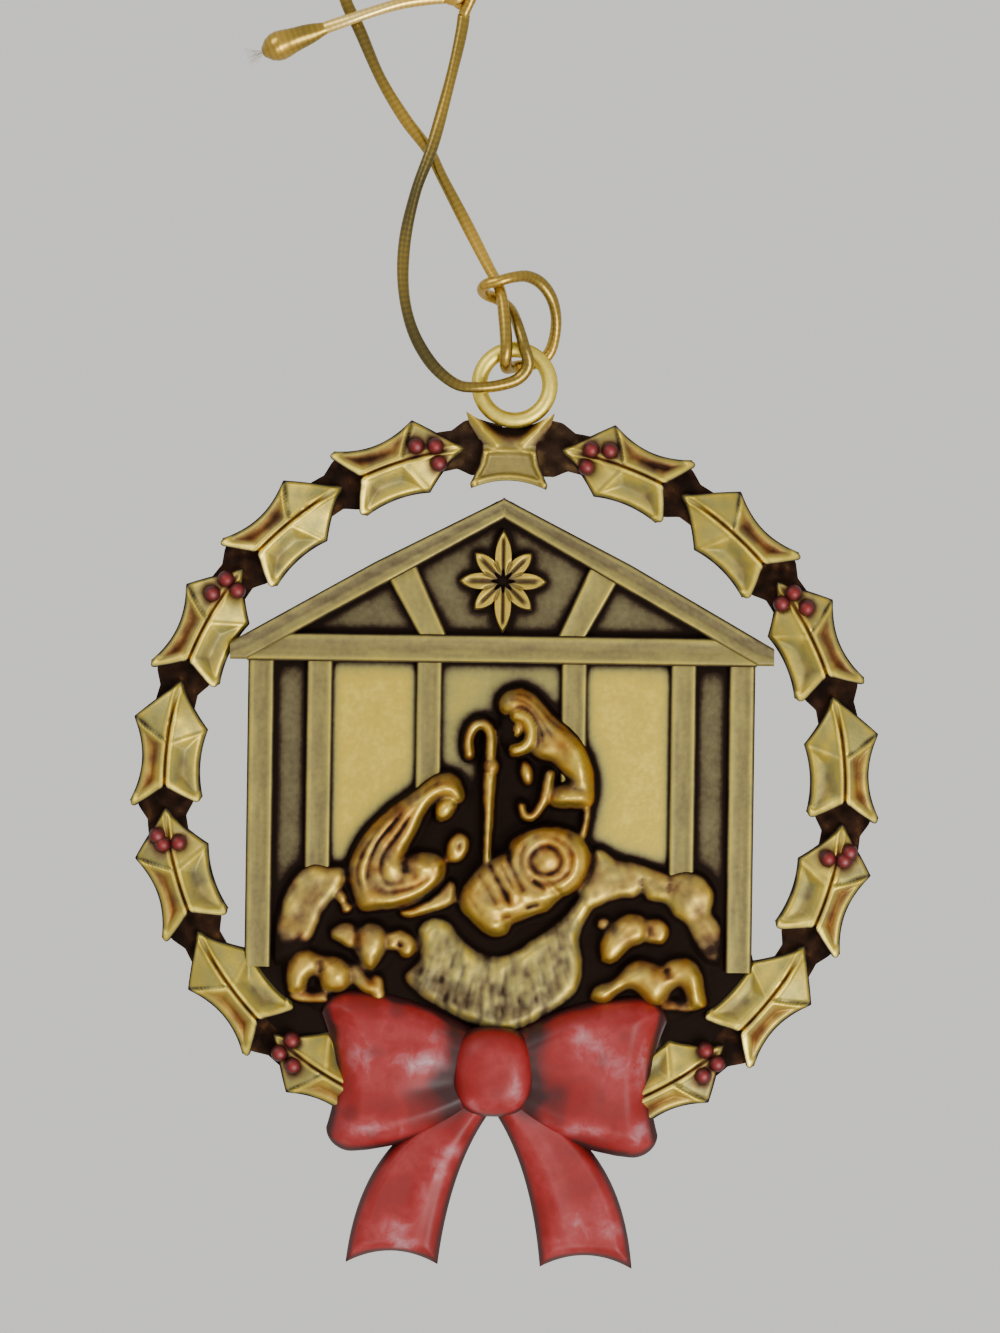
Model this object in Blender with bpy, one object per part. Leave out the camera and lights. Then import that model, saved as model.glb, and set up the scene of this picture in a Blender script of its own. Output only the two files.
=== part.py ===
"""Cast nativity ornament on a loop of metallic cord, hanging upright.

The origin is the hanging point: the middle of the cord at the top of its loop. +Z is up and the relief
faces -Y. Heights are measured forwards from the back plane of the casting. Lengths are in metres.
"""

import math

import bmesh
import bpy
import numpy as np

# Hanging ring and loop
RING_DROP = 0.0514  # from the hanging point down to the middle of the ring
RING_EYE_RADIUS = 0.00246
RING_WIRE_RADIUS = 0.00066
RING_STEPS = (26, 6)  # faces round the ring and round its wire
RING_SEAT = 0.00535  # middle of the ring above the circle of the wreath
RING_HEIGHT = 0.0013  # middle of the ring's wire in front of the back plane

# Wreath
WREATH_RADIUS = 0.0299  # circle that the leaf ribs follow
LEAVES_A_SIDE = 7
FIRST_TIP_DEG = 8.0  # tip of the first leaf, from straight up
LEAF_PITCH_DEG = 21.7
LEAF_HALF_WIDTH = 0.0033  # rib to spike
LEAF_OUTER_WAIST = 0.0021
LEAF_INNER_WAIST = 0.0030
LEAF_EDGE_HEIGHT = 0.0014
LEAF_CREST_HEIGHT = 0.0026
LEAF_GROOVE_DEPTH = 0.0004
PAD_HEIGHT = 0.0011  # sunk ground that joins one leaf to the next
PAD_HALF_WIDTH = 0.0018
FOOT_PAD_HALF_WIDTH = 0.0027  # the lowest pad on each side is broader
PAD_REACH = 0.0012  # how far the ground runs in under each leaf
BERRY_RADIUS = 0.00085
BERRY_CENTRE_HEIGHT = 0.0022
TOP_LEAF_HALF_WIDTH = 0.0037
TOP_LEAF_FOOT = 0.0030  # middle of its hollow foot below the circle of the ribs
TOP_LEAF_FOOT_HOLLOW = 0.0007
TOP_LEAF_HEAD = 0.0016  # middle of its hollow head above that circle
TOP_LEAF_HEAD_HOLLOW = 0.0013
TOP_LEAF_RIM = 0.0003  # its ridge and its edges stand this much over and under its level

# Stable
STABLE_SHIFT = -0.0004  # the stable is cast a little left of the ring
STABLE_HALF_WIDTH = 0.0223  # to the outer face of the outer posts
PLATE_HEIGHT = 0.0012
PLATE_BACK = 0.0001  # the plate's back face stands this far inside the back plane
PLATE_CORNER = 0.0150  # where the plate's sides turn in towards the foot
PLATE_KNEE_DEG = 135.5  # corner of the plate under the sixth leaf, from straight up
PLATE_KNEE_INSET = 0.0022  # that corner inside the circle of the ribs
PLATE_FOOT_RISE = 0.0006  # foot of the plate, behind the bow, above the middle of the bow's knot
POST_WIDTH = 0.00233
POST_HEIGHT = 0.0019
POST_EDGE = 0.00012  # draft of a post, strut, beam or rafter
NARROW_BAY = 0.0028  # gap between an outer post and the next
WIDE_BAY = 0.0073  # gap between that post and the inner one
BEAM_FOOT = 0.0107  # underside of the tie beam above the middle of the wreath
BEAM_DEPTH = 0.0025
BEAM_HEIGHT = 0.0022
ROOF_RISE = 0.0259  # where the roof's outer lines would meet
EAVE_DEPTH = 0.0008  # what is left of a rafter where it runs in under a leaf
RAFTER_DROP = 0.0024  # upright depth of a rafter
RAFTER_HEIGHT = 0.0024
ROOF_BLUNT = 0.0006  # how much the point of the roof is cut off
STRUT_WIDTH = 0.0021
STAR_RISE = 0.0179  # middle of the star above the middle of the wreath
STAR_LONG = 0.0046
STAR_WIDE = 0.0038
STAR_SLANT = 0.0033
STAR_HEIGHT = 0.0019

# Bow
BOW_SHIFT = -0.0004
BOW_KNOT_INSET = 0.0048  # middle of the bow's knot inside the circle of the ribs
BOW_SEAT_DROP = 0.0003  # the loops' outer ends hang this much lower than the knot
BOW_KNOT_HALF_WIDTH = 0.0036
BOW_KNOT_HALF_HEIGHT = 0.0040
BOW_KNOT_HEIGHT = 0.0050
BOW_LOOP_REACH = 0.0145
BOW_LOOP_HALF_HEIGHT = 0.0066
BOW_LOOP_EDGE = 0.0023
BOW_LOOP_CREST = 0.0038
BOW_TAIL_ROOT = 0.0027  # width of a tail where it leaves the knot
BOW_TAIL_ROOT_GAP = 0.0003  # half the gap between the tails there
BOW_TAIL_ROOT_LIFT = 0.0008  # how much higher a tail stands there
BOW_TAIL_INNER_FALL = 0.0038  # how the inner and outer edges of a tail bow out
BOW_TAIL_OUTER_FALL = 0.0022
BOW_TAIL_DROP = 0.0172  # foot of the tails below the middle of the knot
BOW_TAIL_REACH = 0.0126
BOW_TAIL_GAP = 0.0090  # clear width between the feet of the tails
BOW_TAIL_EDGE = 0.0015
BOW_TAIL_CREST = 0.0025
BOW_NOTCH = 0.0011  # hollow in the foot of a tail

# Cord
CORD_DIAMETER = 0.0011
CORD_KNOT_RADIUS = 0.0011
CLOSE_POINTS = 0.0016  # spacing of the cord's points at its tightest bends
WIDE_POINTS = 0.0034  # and on its straight runs

MERGE = 3e-6  # points of the fused casting closer than this become one
FLAT_DEG = 5.0  # neighbouring faces of the fused casting that differ by less become one

BOW_DROP = WREATH_RADIUS - BOW_KNOT_INSET  # middle of the knot below the middle of the wreath
PLATE_FOOT = BOW_DROP - PLATE_FOOT_RISE
EAVE_RADIUS = WREATH_RADIUS - LEAF_INNER_WAIST + PAD_REACH / 2
EAVE_REACH = math.sqrt(EAVE_RADIUS**2 - BEAM_FOOT**2)
ROOF_SLOPE = (ROOF_RISE - BEAM_FOOT - EAVE_DEPTH) / EAVE_REACH
RING_Z = -RING_DROP
WREATH_Z = RING_Z - WREATH_RADIUS - RING_SEAT
BACK_Y = RING_HEIGHT
RING_MEAN_RADIUS = RING_EYE_RADIUS + RING_WIRE_RADIUS
RELIEF_UNIT = STABLE_HALF_WIDTH / 22.3  # the figures are drawn to a stable 44.6 units wide
FLOOR_OF_RELIEF = PLATE_HEIGHT / 2  # the forms of the relief reach down into the plate

# Places of the berries on a leaf: share of the leaf's length from its tip, and distance out from its rib
BERRIES = {
    1: [(0.23, 0.00055), (0.23, -0.00100), (0.37, 0.00092)],
    3: [(0.16, 0.00058), (0.18, -0.00080), (0.31, 0.00084)],
    5: [(0.22, 0.00095), (0.30, -0.00080), (0.29, 0.00060)],
    7: [(0.15, -0.00072), (0.14, 0.00083), (0.28, 0.00095)],
}

# Route of the cord: right, forwards and up from the middle of the ring, in millimetres.
# It leaves the knot, runs down the left strand, over the rim and out at the top of the eye, winds once
# round the right strand, makes the small loop beside the ring and goes behind the ring into the eye,
# comes up in front, and climbs the right strand to the loop that the ornament hangs by.
CORD_ROUTE = [
    (-5.25, 1.0, 32.3), (-5.40, 1.0, 31.0), (-5.85, 1.0, 28.6), (-6.75, 1.0, 24.7), (-7.80, 1.1, 20.5),
    (-9.10, 0.9, 16.7), (-9.95, 0.7, 12.4), (-9.97, 0.7, 8.2), (-9.10, 0.9, 4.6), (-7.35, 1.2, 1.66),
    (-5.20, 1.45, -0.1), (-3.30, 1.5, -0.36), (-1.40, 1.25, -0.15), (0.30, 1.0, 0.5), (1.15, 1.2, 1.75),
    (0.75, 1.5, 3.3), (0.35, 1.15, 4.6), (-0.05, 0.35, 5.75), (-0.60, -0.4, 6.75), (-1.60, -0.65, 7.5),
    (-2.65, -0.15, 7.9), (-3.05, 0.9, 8.3), (-2.65, 1.9, 8.7), (-1.50, 2.25, 9.0), (-0.30, 1.9, 9.35),
    (0.90, 1.0, 9.5), (2.10, 0.1, 9.0), (3.05, -0.6, 7.8), (3.50, -1.0, 6.2), (3.45, -1.35, 4.6),
    (3.05, -1.5, 3.1), (2.25, -1.5, 2.25), (1.00, -1.3, 1.85), (-0.20, -0.75, 1.6), (-0.75, 0.35, 1.5),
    (-0.85, 1.25, 2.15), (-0.80, 1.55, 3.2), (-0.90, 1.45, 4.6), (-1.05, 1.25, 5.8), (-1.30, 0.9, 7.5),
    (-1.70, 0.65, 8.8), (-2.60, 0.3, 10.4), (-4.55, -0.1, 14.0), (-6.80, -0.35, 18.1), (-8.07, -0.4, 20.5),
    (-10.25, -0.4, 23.25), (-12.45, -0.3, 26.7), (-14.40, -0.2, 30.9), (-15.70, -0.1, 33.5),
    (-16.80, 0.0, 37.2), (-16.30, 0.0, 41.4), (-13.60, 0.0, 45.4), (-9.40, 0.0, 48.8), (-4.60, 0.0, 50.9),
    (0.00, 0.0, 51.4), (3.80, 0.0, 50.0), (5.80, 0.0, 46.8), (5.50, 0.0, 42.9), (3.40, 0.2, 39.3),
    (0.60, 0.5, 36.6), (-2.00, 0.8, 34.9), (-3.70, 1.0, 34.2),
]
TAIL_ROUTE = [
    (-6.95, 1.0, 33.80), (-8.40, 1.1, 33.65), (-10.80, 1.3, 33.15), (-13.30, 1.45, 32.35),
    (-15.10, 1.5, 31.70), (-16.60, 1.4, 31.15), (-17.50, 1.3, 30.80),
]
KNOT_PLACE = (-5.35, 1.0, 33.85)
TAIL_KNOT_ROUTE = [
    (-17.8, 1.3, 30.68), (-19.4, 1.2, 30.05), (-21.2, 1.1, 29.30), (-22.8, 1.0, 28.60), (-24.2, 0.9, 27.8),
]
TAIL_KNOT_RADII = (0.00062, 0.00086, 0.00132, 0.00140, 0.00070)


def material(name, colour, roughness, metallic):
    """Principled material with one colour."""
    made = bpy.data.materials.new(name)
    made.use_nodes = True
    shader = made.node_tree.nodes["Principled BSDF"]
    shader.inputs["Base Color"].default_value = (*colour, 1.0)
    shader.inputs["Roughness"].default_value = roughness
    shader.inputs["Metallic"].default_value = metallic
    made.diffuse_color = (*colour, 1.0)
    return made


def solid(name, points, faces):
    """Closed mesh object from points and faces, with its faces turned outwards."""
    mesh = bpy.data.meshes.new(name)
    mesh.from_pydata([tuple(p) for p in points], [], [tuple(int(i) for i in f) for f in faces])
    bm = bmesh.new()
    bm.from_mesh(mesh)
    bmesh.ops.recalc_face_normals(bm, faces=bm.faces)
    bm.to_mesh(mesh)
    bm.free()
    made = bpy.data.objects.new(name, mesh)
    bpy.context.scene.collection.objects.link(made)
    return made


def spots(x, z, height):
    """World points at x and z from the middle of the wreath and a height in front of the back plane."""
    x, z, height = np.broadcast_arrays(x, z, height)
    return np.stack([x, BACK_Y - height, WREATH_Z + z], axis=-1)


def slab(name, x, z, top, floor):
    """Solid between a grid of surface heights and a flat floor. x, z and top are rows by columns."""
    rows, columns = x.shape
    count = rows * columns
    points = np.concatenate([spots(x, z, top).reshape(-1, 3), spots(x, z, floor).reshape(-1, 3)])
    number = np.arange(count).reshape(rows, columns)
    cells = np.stack([number[:-1, :-1], number[:-1, 1:], number[1:, 1:], number[1:, :-1]], -1)
    cells = cells.reshape(-1, 4)
    rim = np.concatenate([number[0, :-1], number[:-1, -1], number[-1, :0:-1], number[:0:-1, 0]])
    after = np.roll(rim, -1)
    walls = np.stack([rim, after, after + count, rim + count], -1)
    return solid(name, points, [*cells, *(cells[:, ::-1] + count), *walls])


def prism(name, outline, floor, top, edge=0.0):
    """Block on a convex outline given anticlockwise, its top drawn in by edge on every side."""
    outline = np.array(outline)
    along = np.roll(outline, -1, axis=0) - outline
    along /= np.linalg.norm(along, axis=1)[:, None]
    inward = np.stack([-along[:, 1], along[:, 0]], -1)
    before = np.roll(inward, 1, axis=0)
    shift = (before + inward) / (1.0 + (before * inward).sum(1))[:, None]
    small = outline + edge * shift
    count = len(outline)
    points = np.concatenate(
        [spots(outline[:, 0], outline[:, 1], floor), spots(small[:, 0], small[:, 1], top)]
    )
    walls = [(i, (i + 1) % count, (i + 1) % count + count, i + count) for i in range(count)]
    return solid(name, points, [range(count), range(2 * count - 1, count - 1, -1), *walls])


def pebble(name, x, z, half_width, half_height, turn, top, floor, around=10, rings=3):
    """Domed oval: an ellipse in plan, turned by degrees, whose section is a quarter circle to its rim."""
    slope = np.linspace(0, math.pi / 2, rings + 1)[1:]
    angle = np.arange(around) * 2 * math.pi / around
    share, height = np.sin(slope), np.cos(slope)
    across = half_width * share[:, None] * np.cos(angle)
    up = half_height * share[:, None] * np.sin(angle)
    c, s = math.cos(math.radians(turn)), math.sin(math.radians(turn))
    rim_height = floor + 0.35 * (top - floor)
    level = rim_height + (top - rim_height) * height[:, None] * np.ones(around)
    surface = spots(x + across * c - up * s, z + across * s + up * c, level).reshape(-1, 3)
    base = spots((x + across * c - up * s)[-1], (z + across * s + up * c)[-1], floor)
    points = np.concatenate([spots(x, z, top)[None], surface, base])
    faces = []
    for i in range(around):
        j = (i + 1) % around
        faces.append((0, 1 + i, 1 + j))
        for ring in range(rings):
            low = 1 + ring * around
            faces.append((low + i, low + around + i, low + around + j, low + j))
    faces.append(range(1 + rings * around, 1 + (rings + 1) * around))
    return solid(name, points, faces)


def smooth_route(points, step):
    """Points about step apart on the Catmull-Rom curve through a route's own points."""
    points = np.array(points, dtype=float)
    ends = [2 * points[0] - points[1], *points, 2 * points[-1] - points[-2]]
    made = []
    for a, b, c, d in zip(ends, ends[1:], ends[2:], ends[3:]):
        pieces = max(1, round(float(np.linalg.norm(c - b)) / step))
        t = np.arange(pieces)[:, None] / pieces
        bend = (2 * a - 5 * b + 4 * c - d) * t**2 + (3 * b - a - 3 * c + d) * t**3
        made.append(b + 0.5 * ((c - a) * t + bend))
    return np.concatenate([*made, points[-1:]])


def ridge(name, route, half_width, top, floor, step=1.0, ends=1.0):
    """Half-round bar along a route in relief units. half_width may be two values, start and end."""
    line = smooth_route(route, step) * RELIEF_UNIT
    along = np.gradient(line, axis=0)
    along /= np.linalg.norm(along, axis=1)[:, None]
    side = np.stack([-along[:, 1], along[:, 0]], -1)
    width = np.linspace(*np.broadcast_to(half_width, 2), len(line)) * RELIEF_UNIT
    width[[0, -1]] *= ends
    profile = np.array([(-1.0, 0.0), (-0.78, 0.72), (0.0, 1.0), (0.78, 0.72), (1.0, 0.0)])
    flat = line[:, None, :] + profile[None, :, :1] * width[:, None, None] * side[:, None, :]
    height = floor + (top * RELIEF_UNIT - floor) * profile[:, 1]
    height = np.broadcast_to(height, flat.shape[:2])
    points = spots(flat[..., 0], flat[..., 1], height).reshape(-1, 3)
    across = len(profile)
    number = np.arange(len(points)).reshape(len(line), across)
    following = np.roll(number, -1, axis=1)
    sides = np.stack([number[:-1], following[:-1], following[1:], number[1:]], -1).reshape(-1, 4)
    return solid(name, points, [*sides, number[0], number[-1, ::-1]])


def relief_pebble(name, x, z, half_width, half_height, turn, top, **more):
    """Pebble of the relief: place, half sizes and top in relief units."""
    sizes = (x, z, half_width, half_height, top)
    x, z, half_width, half_height, top = (value * RELIEF_UNIT for value in sizes)
    return pebble(name, x, z, half_width, half_height, turn, top, FLOOR_OF_RELIEF, **more)


def leaf_width(share, waist):
    """Rib to edge along a leaf: out to the upper spike, in to the waist, out to the base spike."""
    spike, waist_at = 0.355, 0.66
    tip_side = LEAF_HALF_WIDTH * (share / spike) ** 1.35
    swing = np.abs(share - waist_at) / np.where(share < waist_at, waist_at - spike, 1.0 - waist_at)
    side = waist + (LEAF_HALF_WIDTH - waist) * swing**1.8
    return np.where(share < spike, tip_side, side)


def holly_leaf(name, tip_deg, side):
    """One leaf laid along the wreath: angle from the tip towards the base, and distance out from the rib.

    Rows run from tip to base, the last one being the hollow base edge. Columns run from the inner edge
    over the grooved rib to the outer edge. The crest lies beside the rib and falls to the edges.
    """
    across = np.array([-1.0, -0.62, -0.13, 0.0, 0.13, 0.62, 1.0])
    base = 0.84 + 0.16 * np.abs(across) ** 1.2
    shares = [0.02, 0.18, 0.355]
    lower = [0.7, 0.94, 1.0]
    along = np.array([np.full(7, s) for s in shares] + [s * base for s in lower])
    outer = across > 0
    width = np.where(outer, leaf_width(along, LEAF_OUTER_WAIST), leaf_width(along, LEAF_INNER_WAIST))
    out = across * width
    angle = np.radians(tip_deg + along * LEAF_PITCH_DEG) * side
    radius = WREATH_RADIUS + out
    crest = np.array([0.0, 0.55, 1.0, 1.0, 1.0, 0.55, 0.0])
    rise = np.array([0.15, 0.6, 0.85, 0.95, 1.0, 0.1])[:, None]
    height = LEAF_EDGE_HEIGHT + (LEAF_CREST_HEIGHT - LEAF_EDGE_HEIGHT) * crest * rise
    height[:, 3] -= LEAF_GROOVE_DEPTH * rise[:, 0]
    return slab(name, radius * np.sin(angle), radius * np.cos(angle), height, 0.0)


def top_leaf():
    """Leaf under the ring: four spikes, a hollow foot, pinched sides and a sunk place behind the ring."""
    across = np.array([-1.0, -0.6, 0.0, 0.6, 1.0])
    foot = -TOP_LEAF_FOOT - TOP_LEAF_FOOT_HOLLOW * across**2
    head = TOP_LEAF_HEAD + TOP_LEAF_HEAD_HOLLOW * across**2
    rise = np.array([0.0, 0.12, 0.5, 0.75, 1.0])[:, None]
    z = foot + (head - foot) * rise
    spread = np.array([0.86, 0.82, 0.58, 0.75, 1.0])[:, None] * TOP_LEAF_HALF_WIDTH
    level = np.array([1.0, 1.57, 1.64, 1.0, 0.93])[:, None] * LEAF_EDGE_HEIGHT
    ridge_up = np.array([-2.0, 1.0, 0.0, 1.0, -2.0]) * TOP_LEAF_RIM
    return slab("top_leaf", across * spread, WREATH_RADIUS + z, level + ridge_up * (rise > 0), 0.0)


def polar_block(name, start_deg, end_deg, half_width, floor, top):
    """Sector of the wreath's sunk ground."""
    angle = np.radians(np.linspace(start_deg, end_deg, 4))[:, None]
    radius = WREATH_RADIUS + np.array([-half_width, half_width])
    x, z = radius * np.sin(angle), radius * np.cos(angle)
    return slab(name, x, z, np.full(x.shape, top), floor)


def wreath():
    """Leaves, the ground that joins them, berries and the top leaf."""
    made = [top_leaf()]
    reach = math.degrees(PAD_REACH / WREATH_RADIUS)
    for side, word in ((-1, "left"), (1, "right")):
        for index in range(1, LEAVES_A_SIDE + 1):
            tip = FIRST_TIP_DEG + (index - 1) * LEAF_PITCH_DEG
            made.append(holly_leaf(f"leaf_{word}_{index}", tip, side))
            start = -0.18 * LEAF_PITCH_DEG - reach
            ends = sorted((side * (tip + start), side * (tip + 2 * reach)))
            half = FOOT_PAD_HALF_WIDTH if index == LEAVES_A_SIDE else PAD_HALF_WIDTH
            made.append(polar_block(f"pad_{word}_{index}", *ends, half, PAD_HEIGHT / 8, PAD_HEIGHT))
            for number, (share, out) in enumerate(BERRIES.get(index, [])):
                angle = math.radians(tip + share * LEAF_PITCH_DEG) * side
                radius = WREATH_RADIUS + out
                x, z = radius * math.sin(angle), radius * math.cos(angle)
                name = f"berry_{word}_{index}_{number}"
                top = BERRY_CENTRE_HEIGHT + BERRY_RADIUS
                made.append(pebble(name, x, z, BERRY_RADIUS, BERRY_RADIUS, 0, top, PAD_HEIGHT / 2, 6, 2))
    return made


def ring():
    """Round wire bent to a ring."""
    steps, sides = RING_STEPS
    turn = np.arange(steps)[:, None] * 2 * math.pi / steps
    round_wire = np.arange(sides) * 2 * math.pi / sides
    radius = RING_MEAN_RADIUS + RING_WIRE_RADIUS * np.cos(round_wire)
    x, z = radius * np.sin(turn), radius * np.cos(turn)
    y = np.broadcast_to(RING_WIRE_RADIUS * np.sin(round_wire), x.shape)
    points = np.stack([x, y, z + RING_Z], -1).reshape(-1, 3)
    number = np.arange(steps * sides).reshape(steps, sides)
    nearby = np.roll(number, -1, 1)
    faces = np.stack([number, nearby, np.roll(nearby, -1, 0), np.roll(number, -1, 0)], -1).reshape(-1, 4)
    return solid("ring", points, faces)


def mirrored(outline):
    """Outline with left and right changed, still anticlockwise."""
    return [(-x, z) for x, z in reversed(outline)]


def shifted(outline, dx):
    """Outline moved sideways."""
    return [(x + dx, z) for x, z in outline]


def roof_z(x, drop=0.0):
    """Height of the roof's outer line at a distance from its middle, less a drop."""
    return ROOF_RISE - drop - ROOF_SLOPE * x


def stable():
    """Back plate, posts, tie beam, rafters, struts and the star."""
    half = STABLE_HALF_WIDTH
    inset = POST_EDGE
    eave = EAVE_REACH
    side, top = half - inset, ROOF_RISE - ROOF_BLUNT * 1.5
    knee_radius, knee_angle = WREATH_RADIUS - PLATE_KNEE_INSET, math.radians(PLATE_KNEE_DEG)
    knee = (knee_radius * math.sin(knee_angle), knee_radius * math.cos(knee_angle))
    right = [(BOW_LOOP_REACH, -PLATE_FOOT), knee, (side, -PLATE_CORNER)]
    right += [(side, roof_z(half) - inset), (ROOF_BLUNT, top)]
    plate = right + mirrored(right)
    made = [prism("stable_plate", shifted(plate, STABLE_SHIFT), PLATE_BACK, PLATE_HEIGHT)]
    floor = FLOOR_OF_RELIEF
    beam_top = BEAM_FOOT + BEAM_DEPTH
    beam_half = half + PAD_REACH / 2
    beam = [(-beam_half, BEAM_FOOT), (beam_half, BEAM_FOOT), (beam_half, beam_top), (-beam_half, beam_top)]
    made.append(prism("tie_beam", shifted(beam, STABLE_SHIFT), floor, BEAM_HEIGHT, POST_EDGE))
    run_in = (ROOF_RISE - RAFTER_DROP - BEAM_FOOT) / ROOF_SLOPE
    point = ROOF_RISE - ROOF_BLUNT
    over = ROOF_BLUNT / 5
    rafter = [
        (-over, ROOF_RISE - RAFTER_DROP), (run_in, BEAM_FOOT + over), (eave, BEAM_FOOT + over),
        (eave, roof_z(eave)), (ROOF_BLUNT / ROOF_SLOPE, point), (-over, point),
    ]
    inner_post = half - 3 * POST_WIDTH - NARROW_BAY - WIDE_BAY
    strut_foot, strut_head = inner_post - POST_WIDTH * 0.1, inner_post + POST_WIDTH * 1.05
    strut = [
        (strut_foot, beam_top - over), (strut_foot + STRUT_WIDTH, beam_top - over),
        (strut_head + STRUT_WIDTH, roof_z(strut_head + STRUT_WIDTH, RAFTER_DROP / 2)),
        (strut_head, roof_z(strut_head, RAFTER_DROP / 2)),
    ]
    posts = [half - POST_WIDTH, half - 2 * POST_WIDTH - NARROW_BAY, inner_post]
    feet = [-PLATE_CORNER - PAD_REACH, -PLATE_CORNER, -PLATE_CORNER]
    for word, turn in (("left", mirrored), ("right", list)):
        outline = shifted(turn(rafter), STABLE_SHIFT)
        made.append(prism(f"rafter_{word}", outline, floor, RAFTER_HEIGHT, POST_EDGE))
        outline = shifted(turn(strut), STABLE_SHIFT)
        made.append(prism(f"strut_{word}", outline, floor, POST_HEIGHT, POST_EDGE))
        for number, (x, foot) in enumerate(zip(posts, feet)):
            far, head = x + POST_WIDTH, BEAM_FOOT + over
            outline = shifted(turn([(x, foot), (far, foot), (far, head), (x, head)]), STABLE_SHIFT)
            made.append(prism(f"post_{word}_{number}", outline, floor, POST_HEIGHT, POST_EDGE))
    made.append(star())
    return made


def star():
    """Eight pointed petals that rise to a ridge and fall to a hollow middle."""
    reach = [STAR_LONG, STAR_SLANT, STAR_WIDE, STAR_SLANT] * 2
    waist, hollow = 0.40 * STAR_SLANT, 0.22 * STAR_SLANT
    low = PLATE_HEIGHT + 0.2 * (STAR_HEIGHT - PLATE_HEIGHT)
    places, heights = [], []
    for i, long in enumerate(reach):
        petal = ((long, 0, low), (waist * 1.3, 0, STAR_HEIGHT), (hollow, 0, low), (waist, math.pi / 8, low))
        for radius, turn, height in petal:
            angle = i * math.pi / 4 + turn
            places.append((radius * math.sin(angle), radius * math.cos(angle)))
            heights.append(height)
    plan = np.array(places + [(0.0, 0.0)])
    heights = np.array(heights + [PLATE_HEIGHT * 1.05])
    x, z = plan[:, 0] + STABLE_SHIFT, plan[:, 1] + STAR_RISE
    count = len(plan)
    rim = [k for i in range(8) for k in (4 * i, 4 * i + 3)]
    base = spots(x[rim], z[rim], FLOOR_OF_RELIEF)
    faces = []
    for i in range(8):
        tip, ridge_at, inner, valley = 4 * i, 4 * i + 1, 4 * i + 2, 4 * i + 3
        last_valley, next_inner = (4 * i - 1) % 32, (4 * i + 6) % 32
        faces += [(tip, ridge_at, last_valley), (tip, valley, ridge_at), (ridge_at, valley, inner)]
        faces += [(ridge_at, inner, last_valley), (inner, valley, next_inner)]
        faces.append((inner, next_inner, count - 1))
    for k in range(16):
        n = (k + 1) % 16
        faces.append((rim[k], rim[n], count + n, count + k))
    faces.append(range(count, count + 16))
    return solid("star", np.concatenate([spots(x, z, heights), base]), faces)


def hay():
    """Mounds of hay at both sides and the bowl of hay that the child lies in."""
    floor = FLOOR_OF_RELIEF
    left = [(-12.5, -9.6), (-15.5, -9.8), (-17.6, -11.6), (-18.3, -14.6), (-18.4, -18.4)]
    right = [(6.5, -8.3), (10.5, -8.4), (14.6, -9.5), (16.9, -12.2), (17.4, -15.5), (17.4, -18.6)]
    return [
        ridge("hay_left", left, 2.0, 2.6, floor, 2.2, 0.6),
        ridge("hay_right", right, 2.1, 2.9, floor, 2.2, 0.6),
        relief_pebble("hay_bowl", 0.0, -16.0, 8.0, 5.4, 0, 3.1, around=14, rings=3),
        relief_pebble("hay_foot", 0.0, -18.6, 14.0, 2.6, 0, 2.1, around=12, rings=2),
        relief_pebble("hay_back", -2.0, -10.6, 11.0, 4.0, 0, 1.9, around=12, rings=2),
    ]


def kneeling_figure():
    """Veiled kneeling figure: robe, back and veil, rim of the veil, head, arm, hands, hem and folds."""
    floor = FLOOR_OF_RELIEF
    folds = [
        [(-8.3, -3.6), (-10.2, -6.4), (-10.4, -8.2), (-9.2, -9.1), (-7.2, -8.6), (-5.6, -7.5)],
        [(-9.2, -3.2), (-11.3, -6.3), (-11.6, -8.7), (-10.0, -10.1), (-7.4, -9.6), (-5.2, -8.3)],
        [(-10.2, -2.9), (-12.4, -6.3), (-12.8, -9.2), (-11.3, -11.0), (-8.2, -10.8), (-5.4, -9.8)],
    ]
    rim = [(-4.1, -1.4), (-3.9, -0.3), (-4.7, 0.5), (-5.9, 0.0), (-7.2, -2.4), (-8.3, -4.8)]
    made = [
        relief_pebble("robe", -9.1, -7.9, 4.2, 3.4, 15, 3.4, around=12),
        relief_pebble("back", -8.6, -4.2, 5.6, 2.4, 49, 3.6, around=12),
        relief_pebble("veiled_head", -5.2, -1.2, 1.55, 1.9, -25, 3.7, rings=2),
        relief_pebble("bent_arm", -6.8, -7.0, 2.3, 1.0, 5, 3.8, rings=2),
        relief_pebble("praying_hands", -4.0, -5.4, 0.72, 1.15, -10, 3.6, around=8),
        relief_pebble("hem", -5.6, -10.1, 2.1, 0.8, 12, 3.0, around=8, rings=2),
        relief_pebble("heel", -14.0, -10.4, 0.65, 1.0, 25, 2.8, around=7, rings=2),
        ridge("veil_rim", rim, 0.42, 4.1, floor, 1.6, 0.6),
    ]
    for number, fold in enumerate(folds):
        made.append(ridge(f"robe_fold_{number}", fold, 0.36, 4.0 - 0.3 * number, floor, 2.0, 0.5))
    return made


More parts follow.
